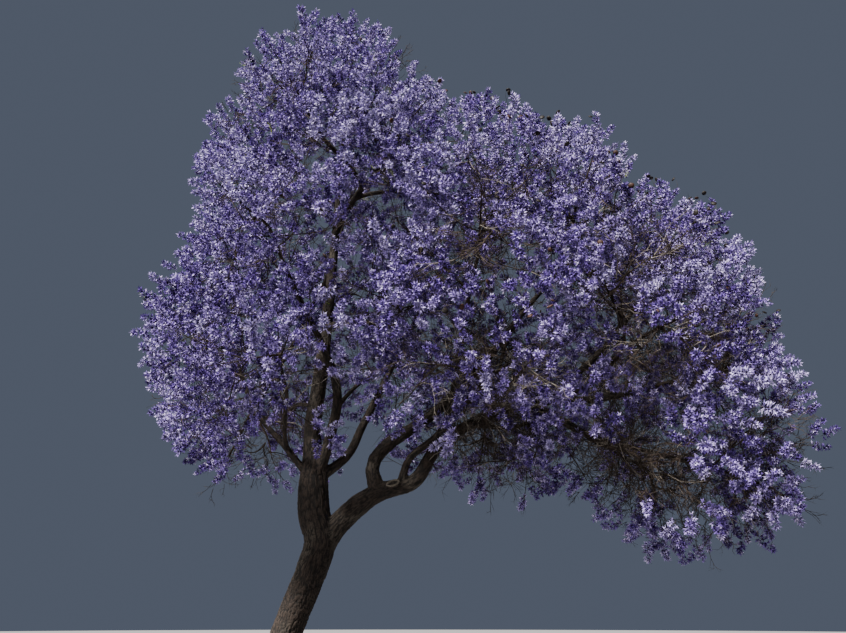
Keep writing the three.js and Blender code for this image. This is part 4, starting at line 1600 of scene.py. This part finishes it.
def bell_shape(length):
    """One flower with its stalk's end at the origin: a four-sided tube and four open lobes."""
    bm = bmesh.new()
    level = Matrix.Translation((0, 0, THROAT_PLACE * length))
    bmesh.ops.create_circle(bm, segments=4, radius=THROAT_RADIUS * length, matrix=level)
    rim = list(bm.edges)
    for edge in rim:
        lobe = new_corners(bmesh.ops.extrude_edge_only(bm, edges=[edge]))
        outward = (edge.verts[0].co + edge.verts[1].co) * Vector((1, 1, 0))
        tip = outward.normalized() * LOBE_RADIUS * length + Vector((0, 0, length))
        bmesh.ops.pointmerge(bm, verts=lobe, merge_co=tip)
    tube = new_corners(bmesh.ops.extrude_edge_only(bm, edges=rim))
    bmesh.ops.pointmerge(bm, verts=tube, merge_co=(0, 0, 0))
    bmesh.ops.recalc_face_normals(bm, faces=bm.faces)
    return shape_of(bm)


def panicle_shape(seed, settings):
    """A panicle along Z: flowers round a stalk, long-stalked below and close above."""
    random = np.random.default_rng(seed)
    count = settings.flowers
    shares = (np.arange(count) + random.uniform(0.2, 0.8, count)) / count
    heights = (0.12 + 0.86 * shares ** 0.9) * settings.panicle_length
    turns = np.arange(count) * GOLDEN_ANGLE + random.normal(size=count) * 0.35
    rise = np.clip(random.normal(size=count) * 0.35 + 0.15 + 1.1 * shares ** 3, -0.6, 1.6)
    ways = np.stack((np.cos(turns), np.sin(turns), rise), axis=1)
    stretch = 1 + LONGEST_STALK * (1 - shares) * random.uniform(0.3, 1, count)
    matrices = turned_to(ways, random.uniform(0, 2, count)) * np.stack((
        random.uniform(0.85, 1.15, count),
        random.uniform(0.85, 1.15, count),
        stretch * random.uniform(0.9, 1.1, count),
    ), axis=1)[:, None, :]
    return copies(bell_shape(settings.flower_length), matrices, heights[:, None] * UP)


def stalk_shape(settings):
    """The stalk of a panicle."""
    heights = np.array((0.0, 0.5, 1.0)) * settings.panicle_length
    return tubes(heights[None, :, None] * UP, np.array(STALK_RADII), 3)


def dealt_tints(middles, random):
    """The tint of each panicle: paler high up, outside and in lit clumps as painted light, deeper low down,
    inside and between the clumps as painted shade, with a random share on top.
    """
    outer = np.clip((crown_level(middles / MM) - 0.62) / 0.4, 0, 1)
    height = np.clip((middles[:, 2] - 3.5) / 6, 0, 1)
    lit_and_shaded_clumps = drift(middles, CLUMP_SIZE, CLUMP_SHIFT)
    # Painted light and painted shade: height, how far out and which clump a panicle is in make its tint paler
    # or deeper; the random share is its own.
    light = outer * 0.4 + height * 0.45 + lit_and_shaded_clumps * 1.3 + random.uniform(0, 1, len(middles)) * 0.7
    return len(TINTS) - 1 - np.searchsorted(np.quantile(light, TINT_SHARES), light)


def tube_faces(shape):
    """For each triangle of a panicle, 1 where it is part of a flower's tube and 0 on its lobes."""
    points, faces = shape
    on_axis = length_of(points[:, :2]) < 1e-5
    return on_axis[faces].any(axis=1).astype(int)


@dataclass(eq=False)
class Panicles:
    """All panicles: their places and turns, which shape each has, and the shapes themselves."""
    feet: np.ndarray
    matrices: np.ndarray
    kinds: np.ndarray
    shapes: list
    stalk: tuple

    def mesh(self, name, chosen, random):
        """The chosen panicles as one mesh: flowers each with a random brightness between painted shade and a
        painted glint, and stalks.
        """
        parts, slots, tones_from_shade_to_glint = [], [], []
        for kind, shape in enumerate(self.shapes):
            own = chosen[self.kinds[chosen] == kind]
            flowers = copies(shape, self.matrices[own], self.feet[own])
            stalks = copies(self.stalk, self.matrices[own], self.feet[own])
            parts += [flowers, stalks]
            slots += [np.tile(tube_faces(shape), len(own)), np.full(len(stalks[1]), 2)]
            # Each flower's random brightness, which picks between painted shade and a painted glint in its
            # finish.
            each = random.beta(1.2, 1.5, len(flowers[0]) // BELL_POINTS)
            tones_from_shade_to_glint += [np.repeat(each, BELL_POINTS), np.zeros(len(stalks[0]))]
        mesh = mesh_from(name, joined(parts))
        mesh.polygons.foreach_set("material_index", np.concatenate(slots).astype(np.int32))
        add_attribute(mesh, "tone", np.concatenate(tones_from_shade_to_glint))
        return mesh


# Pods and fronds

def pod_shape():
    """A flat round pod of length 1 along Z, with a wavy rim."""
    bm = bmesh.new()
    bmesh.ops.create_uvsphere(bm, u_segments=9, v_segments=5, radius=0.5)
    for vert in bm.verts:
        wave = 1 + 0.05 * math.sin(POD_WAVES * math.atan2(vert.co.z, vert.co.x))
        vert.co = Vector((vert.co.x * 0.92 * wave, vert.co.y * 0.34, vert.co.z * wave + 0.5))
    bmesh.ops.recalc_face_normals(bm, faces=bm.faces)
    return shape_of(bm)


def pods_on_stalks(settings):
    """All pods and all their stalks, as two shapes."""
    random = generator("pods")
    count = settings.pods
    feet, outs, _, _ = all_panicles()
    weight = np.clip(feet[:, 0] - 1.5, 0.05, 2.5) * np.clip(feet[:, 2] - 4.5, 0.02, 3)
    weight = weight * np.clip(crown_level(feet / MM) - 0.6, 0.02, 1) ** 2.5
    chosen = random.choice(len(feet), count, replace=False, p=weight / weight.sum())
    starts = feet[chosen]
    ways = unit(outs[chosen] * 0.5 + UP * 0.55 + random.normal(size=starts.shape) * 0.35)
    ends = starts + ways * random.uniform(*POD_STALKS, count)[:, None]
    ends = np.clip(ends, np.array(MODEL_BOUNDS[0]), np.array(MODEL_BOUNDS[1]) + POD_PROUD)
    stalks = tubes(bent(starts, ends, 5, 0.12, random), even_taper(count, *POD_STALK_RADII, 5), 3)
    hang = unit(random.normal(size=starts.shape) * 0.8 - UP * 0.5)
    sizes = settings.pod_length * random.uniform(0.75, 1.15, count)
    matrices = turned_to(hang, random.uniform(0, 6, count)) * sizes[:, None, None]
    return copies(pod_shape(), matrices, ends), stalks


def frond_spine(shares):
    """Points along a frond's bowed stalk, of height 1."""
    return np.stack((shares * 0, shares ** 2 * FROND_BOW, shares), axis=-1)


def frond_shape(random):
    """A young feathery leaf of length 1 along Z: pairs of narrow leaflets on a bowed stalk."""
    shares = np.linspace(0.16, 1, LEAFLET_PAIRS)
    spine = frond_spine(np.linspace(0, 1, 4))
    parts = [tubes(spine[None], np.array([[0.012, 0.01, 0.008, 0.004]]), 3)]
    leaflet = (
        np.array([(0, 0, 0), (0.045, 0.008, 0.5), (0, 0, 1), (-0.045, 0.008, 0.5), (0, 0.02, 0.5)], float),
        np.array([(0, 1, 4), (1, 2, 4), (2, 3, 4), (3, 0, 4)]),
    )
    for hand in (-1.0, 1.0):
        ways = np.tile((hand, 0.1, 0.55), (LEAFLET_PAIRS, 1))
        ways = ways + random.normal(size=ways.shape) * 0.06
        sizes = LEAFLET_SHARE * np.sin(math.pi * (0.2 + 0.72 * shares))
        matrices = turned_to(ways, np.zeros(LEAFLET_PAIRS)) * sizes[:, None, None]
        parts.append(copies(leaflet, matrices, frond_spine(shares)))
    return joined(parts)


# Settings

def colour_property(name, description, default):
    """A colour that a user may change."""
    return bpy.props.FloatVectorProperty(
        name=name, description=description, subtype="COLOR", size=3, default=default)


def length_property(name, description, default, least=0.0):
    """A length in metres that a user may change."""
    return bpy.props.FloatProperty(
        name=name, description=description, default=default, min=least, unit="LENGTH")


def count_property(name, description, default):
    """A number of things that a user may change."""
    return bpy.props.IntProperty(name=name, description=description, default=default, min=1)


def strength_property(name, description, default):
    """The strength of a light that a user may change."""
    return bpy.props.FloatProperty(name=name, description=description, default=default, min=0)


class BarkSettings(bpy.types.PropertyGroup):
    """Sizes and colours of the bark."""
    voxel: length_property("Trunk detail", "Size of the facets of the trunk's bark", 0.0128, 0.006)
    limb_voxel: length_property("Limb detail", "Size of the facets of the limbs' bark", 0.0195, 0.01)
    fissure_depth: length_property("Fissure depth", "Depth of the fissures on the trunk", 0.017)
    # The bark's colours are kept dark as painted shade from the crown over the trunk.
    plate_colour: colour_property("Plates", "Colour of the raised bark", (0.024, 0.0165, 0.0125))
    fissure_colour: colour_property(
        "Fissures", "Colour at the bottom of the fissures", (0.004, 0.003, 0.0025))
    weathered_colour: colour_property("Weathered", "Colour of the grey patches", (0.085, 0.073, 0.058))


class TwigSettings(bpy.types.PropertyGroup):
    """Counts and colours of the twigs."""
    shoots: count_property("Inner shoots", "Bare shoots inside the crown", 3000)
    dead_shoots: count_property("Dead shoots", "Pale dead shoots, most of them low on the right", 700)
    twig_colour: colour_property("Twigs", "Colour of living twigs", (0.026, 0.019, 0.015))
    dead_colour: colour_property("Dead twigs", "Colour of dead twigs", (0.15, 0.13, 0.11))


class BlossomSettings(bpy.types.PropertyGroup):
    """Sizes and colours of the blossom."""
    flower_length: length_property(
        "Flower length", "Length of one flower, larger than life to fill the crown", 0.074, 0.03)
    flowers: count_property("Flowers a panicle", "Flowers on each panicle", 22)
    panicle_length: length_property("Panicle length", "Length of a panicle's stalk", 0.31, 0.1)
    panicles: count_property("Panicles a cluster", "Panicles in each cluster at a twig's end", 9)
    fillers: count_property("Panicles between", "Panicles on thin twigs between the clusters", 3300)
    palest: colour_property("Palest", "Colour of the palest panicles", (0.395, 0.325, 0.645))
    pale: colour_property("Pale", "Colour of pale panicles", (0.285, 0.208, 0.53))
    middle: colour_property("Middle", "Colour of common panicles", (0.2, 0.13, 0.43))
    deep: colour_property("Deep", "Colour of deep violet panicles", (0.133, 0.077, 0.33))
    deepest: colour_property("Deepest", "Colour of the deepest panicles", (0.083, 0.045, 0.22))


class FruitSettings(bpy.types.PropertyGroup):
    """Sizes and counts of the pods and young fronds."""
    pods: count_property("Pods", "Seed pods left from last year", 260)
    pod_length: length_property("Pod length", "Length of a seed pod", 0.096, 0.03)
    fronds: count_property("Fronds", "Young leaves among the upper blossom", 110)
    frond_length: length_property("Frond length", "Length of a young leaf", 0.26, 0.05)
    frond_colour: colour_property("Frond colour", "Colour of the young leaves", (0.19, 0.24, 0.05))


class StageSettings(bpy.types.PropertyGroup):
    """The floor, the light and the camera."""
    floor_colour: colour_property("Floor", "Colour of the floor", (0.18, 0.18, 0.184))
    sun: strength_property("Key light", "Strength of the key light", 17.5)
    sky: strength_property("Fill light", "Strength of the fill light", 0.14)
    camera_height: length_property("Camera height", "Height of the camera's eye", 1.6)
    camera_distance: length_property("Camera distance", "Distance from the camera to the tree", 14.0)


# Operators

class TreeOperator(bpy.types.Operator):
    """Base of the operators that make the tree's pieces."""
    bl_options = {"REGISTER", "UNDO"}


class JACARANDA_OT_bark(TreeOperator):
    """Skin the trunk and limbs with fissured bark"""
    bl_idname = "jacaranda.bark"
    bl_label = "Bark"

    def execute(self, context):
        settings = context.scene.jacaranda_bark
        limbs = limb_woods()
        leaders, boughs = limbs[:len(LEADERS)], limbs[len(LEADERS):]
        stub = stub_wood()
        lower = [part_of(leader, 0, TRUNK_SHARE + OVERLAP_SHARE, sink_last=True) for leader in leaders]
        upper = [part_of(leader, TRUNK_SHARE, 1, sink_first=True) for leader in leaders]
        coarse = 1
        finish = bark_finish(settings)
        pieces = (
            ("bark_trunk", [trunk_wood(), *lower, stub], settings.voxel, LIMB_NODES[:3]),
            ("bark_limbs", [*upper, *boughs], settings.limb_voxel, LIMB_NODES[1:]),
        )
        for name, woods, voxel, nodes in pieces:
            skin = skin_over(name, woods, voxel * coarse)
            add_bark(skin, woods, settings.fissure_depth)
            add_piece(skin, [finish], nodes)
        add_piece(pruning_cut(stub), [cut_finish()])
        return {"FINISHED"}


class JACARANDA_OT_twigs(TreeOperator):
    """Grow the living twigs, down to the stalk of each panicle"""
    bl_idname = "jacaranda.twigs"
    bl_label = "Twigs"

    def execute(self, context):
        settings = context.scene.jacaranda_twigs
        finish = twig_finish("twigs", shade(settings.twig_colour, 0.55), shade(settings.twig_colour, 1.6))
        pieces = {
            "twigs": joined([stem_tubes(), twig_tubes(), twiglet_tubes()]),
            "inner_shoots": shoots_from_twigs(
                "inner shoots", settings.shoots, around_thicket, **INNER_SHOOT),
            "bare_sprays": bare_sprays(**SPRAY),
        }
        for name, shape in pieces.items():
            add_piece(mesh_from(name, shape), [finish], MASS_NODES)
        return {"FINISHED"}


class JACARANDA_OT_dead_twigs(TreeOperator):
    """Add the pale dead twigs inside the crown, most of them low on the right"""
    bl_idname = "jacaranda.dead_twigs"
    bl_label = "Dead twigs"

    def execute(self, context):
        settings = context.scene.jacaranda_twigs
        shape = shoots_from_twigs("dead twigs", settings.dead_shoots, thicket, **DEAD_SHOOT)
        finish = twig_finish("dead twigs", shade(settings.dead_colour, 0.6), shade(settings.dead_colour, 1.3))
        add_piece(mesh_from("dead_twigs", shape), [finish], MASS_NODES)
        return {"FINISHED"}


class JACARANDA_OT_blossom(TreeOperator):
    """Dress every panicle with flowers, in tints dealt out by panicle"""
    bl_idname = "jacaranda.blossom"
    bl_label = "Blossom"

    def execute(self, context):
        settings = context.scene.jacaranda_blossom
        random = generator("blossom")
        feet, outs, grades, _ = all_panicles()
        shapes = [panicle_shape(FIRST_PANICLE_SEED + n, settings) for n in range(PANICLE_SHAPES)]
        stalk = stalk_shape(settings)
        matrices = turned_to(outs, random.uniform(0, 2 * math.pi, len(feet))) * grades[:, None, None]
        kinds = random.integers(0, len(shapes), len(feet))
        tints = dealt_tints(feet + outs * settings.panicle_length / 2, random)
        panicles = Panicles(feet, matrices, kinds, shapes, stalk)
        most = PIECE_TRIANGLES // (len(shapes[0][1]) + len(stalk[1]))
        for tint, name in enumerate(TINTS):
            finishes = self.finishes(name, tuple(getattr(settings, name)))
            members = np.flatnonzero(tints == tint)
            for number, first in enumerate(range(0, len(members), most), start=1):
                chosen = members[first:first + most]
                mesh = panicles.mesh(f"blossom_{name}_{number}", chosen, random)
                add_piece(mesh, finishes, MASS_NODES)
        return {"FINISHED"}

    def finishes(self, name, colour):
        """The finishes of one tint: lobes, tubes and stalks."""
        return [
            petal_finish(f"petals {name}", colour, glint=0.6),
            # The tubes are half as bright as the lobes: painted shade under the lobes.
            petal_finish(f"tubes {name}", shade(colour, 0.5), glint=0.2),
            twig_finish(f"stalks {name}", *FLOWER_STALK_TINTS),
        ]


class JACARANDA_OT_pods(TreeOperator):
    """Hang last year's woody pods among the upper blossom and over it"""
    bl_idname = "jacaranda.pods"
    bl_label = "Pods"

    def execute(self, context):
        pods, stalks = pods_on_stalks(context.scene.jacaranda_fruit)
        mesh = mesh_from("pods", joined([pods, stalks]))
        slots = np.repeat(np.arange(2, dtype=np.int32), (len(pods[1]), len(stalks[1])))
        mesh.polygons.foreach_set("material_index", slots)
        mesh.polygons.foreach_set("use_smooth", slots == 0)
        add_piece(mesh, [pod_finish(), twig_finish("pod stalks", *POD_STALK_TINTS)], MASS_NODES)
        return {"FINISHED"}


class JACARANDA_OT_fronds(TreeOperator):
    """Let a few young feathery leaves show among the upper blossom"""
    bl_idname = "jacaranda.fronds"
    bl_label = "Young fronds"

    def execute(self, context):
        settings = context.scene.jacaranda_fruit
        count, colour = settings.fronds, settings.frond_colour
        random = generator("fronds")
        feet, outs, _, _ = all_panicles()
        weight = np.clip(feet[:, 2] - 6, 0.02, 4)
        chosen = random.choice(len(feet), count, replace=False, p=weight / weight.sum())
        ways = unit(outs[chosen] + random.normal(size=(count, 3)) * 0.5)
        sizes = settings.frond_length * random.uniform(0.7, 1.2, count)
        matrices = turned_to(ways, random.uniform(0, 6, count)) * sizes[:, None, None]
        shape = copies(frond_shape(random), matrices, feet[chosen])
        finish = twig_finish("fronds", shade(colour, 0.7), shade(colour, 1.35))
        add_piece(mesh_from("fronds", shape), [finish], MASS_NODES)
        return {"FINISHED"}


class JACARANDA_OT_stage(TreeOperator):
    """Lay a plain pale floor, and set the soft light and the camera"""
    bl_idname = "jacaranda.stage"
    bl_label = "Stage"

    def execute(self, context):
        settings = context.scene.jacaranda_stage
        self.lay_floor(settings)
        self.light(context.scene, settings)
        self.aim_camera(context.scene, settings)
        return {"FINISHED"}

    def lay_floor(self, settings):
        """A plain round floor."""
        bm = bmesh.new()
        bmesh.ops.create_circle(bm, cap_ends=True, segments=96, radius=FLOOR_RADIUS)
        floor = link_new("floor", mesh_of(bm, "floor"))
        finish = Finish("floor", roughness=0.9)
        finish.colour(tuple(settings.floor_colour))
        floor.data.materials.append(finish.material)

    def light(self, scene, settings):
        """A wide key light and a faint sky."""
        sun = bpy.data.lights.new("key", "SUN")
        sun.energy = settings.sun
        sun.angle = math.radians(KEY_WIDTH)
        sun.color = SUNLIGHT
        key = link_new("key", sun)
        key.rotation_euler = Vector(KEY_FROM).to_track_quat("Z", "Y").to_euler()
        world = bpy.data.worlds.new("pale")
        world.use_nodes = True
        background = world.node_tree.nodes["Background"]
        background.inputs["Color"].default_value = SKYLIGHT
        background.inputs["Strength"].default_value = settings.sky
        scene.world = world

    def aim_camera(self, scene, settings):
        """A camera where the photograph was taken."""
        camera = bpy.data.cameras.new("camera")
        camera.sensor_width = SENSOR_WIDTH
        camera.lens = FOCAL_PIXELS / PHOTO_WIDTH * SENSOR_WIDTH
        scene.camera = link_new("camera", camera)
        scene.camera.location = (CAMERA_SIDE, -settings.camera_distance, settings.camera_height)
        scene.camera.rotation_euler = (math.radians(90 + CAMERA_PITCH), 0, 0)


SETTINGS = {
    "jacaranda_bark": BarkSettings,
    "jacaranda_twigs": TwigSettings,
    "jacaranda_blossom": BlossomSettings,
    "jacaranda_fruit": FruitSettings,
    "jacaranda_stage": StageSettings,
}
OPERATORS = (
    JACARANDA_OT_bark,
    JACARANDA_OT_twigs,
    JACARANDA_OT_dead_twigs,
    JACARANDA_OT_blossom,
    JACARANDA_OT_pods,
    JACARANDA_OT_fronds,
    JACARANDA_OT_stage,
)


class JACARANDA_PT_panel(bpy.types.Panel):
    """Lists the pieces of the tree and their settings"""
    bl_label = "Jacaranda"
    bl_space_type = "VIEW_3D"
    bl_region_type = "UI"
    bl_category = "Jacaranda"

    def draw(self, context):
        for name, group in SETTINGS.items():
            box = self.layout.box()
            for field in group.__annotations__:
                box.prop(getattr(context.scene, name), field)
        for operator in OPERATORS:
            self.layout.operator(operator.bl_idname)


def register():
    """Adds the settings, the operators and the panel to Blender."""
    for name, group in SETTINGS.items():
        bpy.utils.register_class(group)
        setattr(bpy.types.Scene, name, bpy.props.PointerProperty(type=group))
    for cls in (*OPERATORS, JACARANDA_PT_panel):
        bpy.utils.register_class(cls)


def unregister():
    """Takes them out again."""
    for cls in (JACARANDA_PT_panel, *reversed(OPERATORS)):
        bpy.utils.unregister_class(cls)
    for name, group in reversed(SETTINGS.items()):
        delattr(bpy.types.Scene, name)
        bpy.utils.unregister_class(group)


def main():
    """Makes every piece in order."""
    register()
    for operator in OPERATORS:
        group, name = operator.bl_idname.split(".")
        getattr(getattr(bpy.ops, group), name)()
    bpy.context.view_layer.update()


if __name__ == "__main__":
    main()
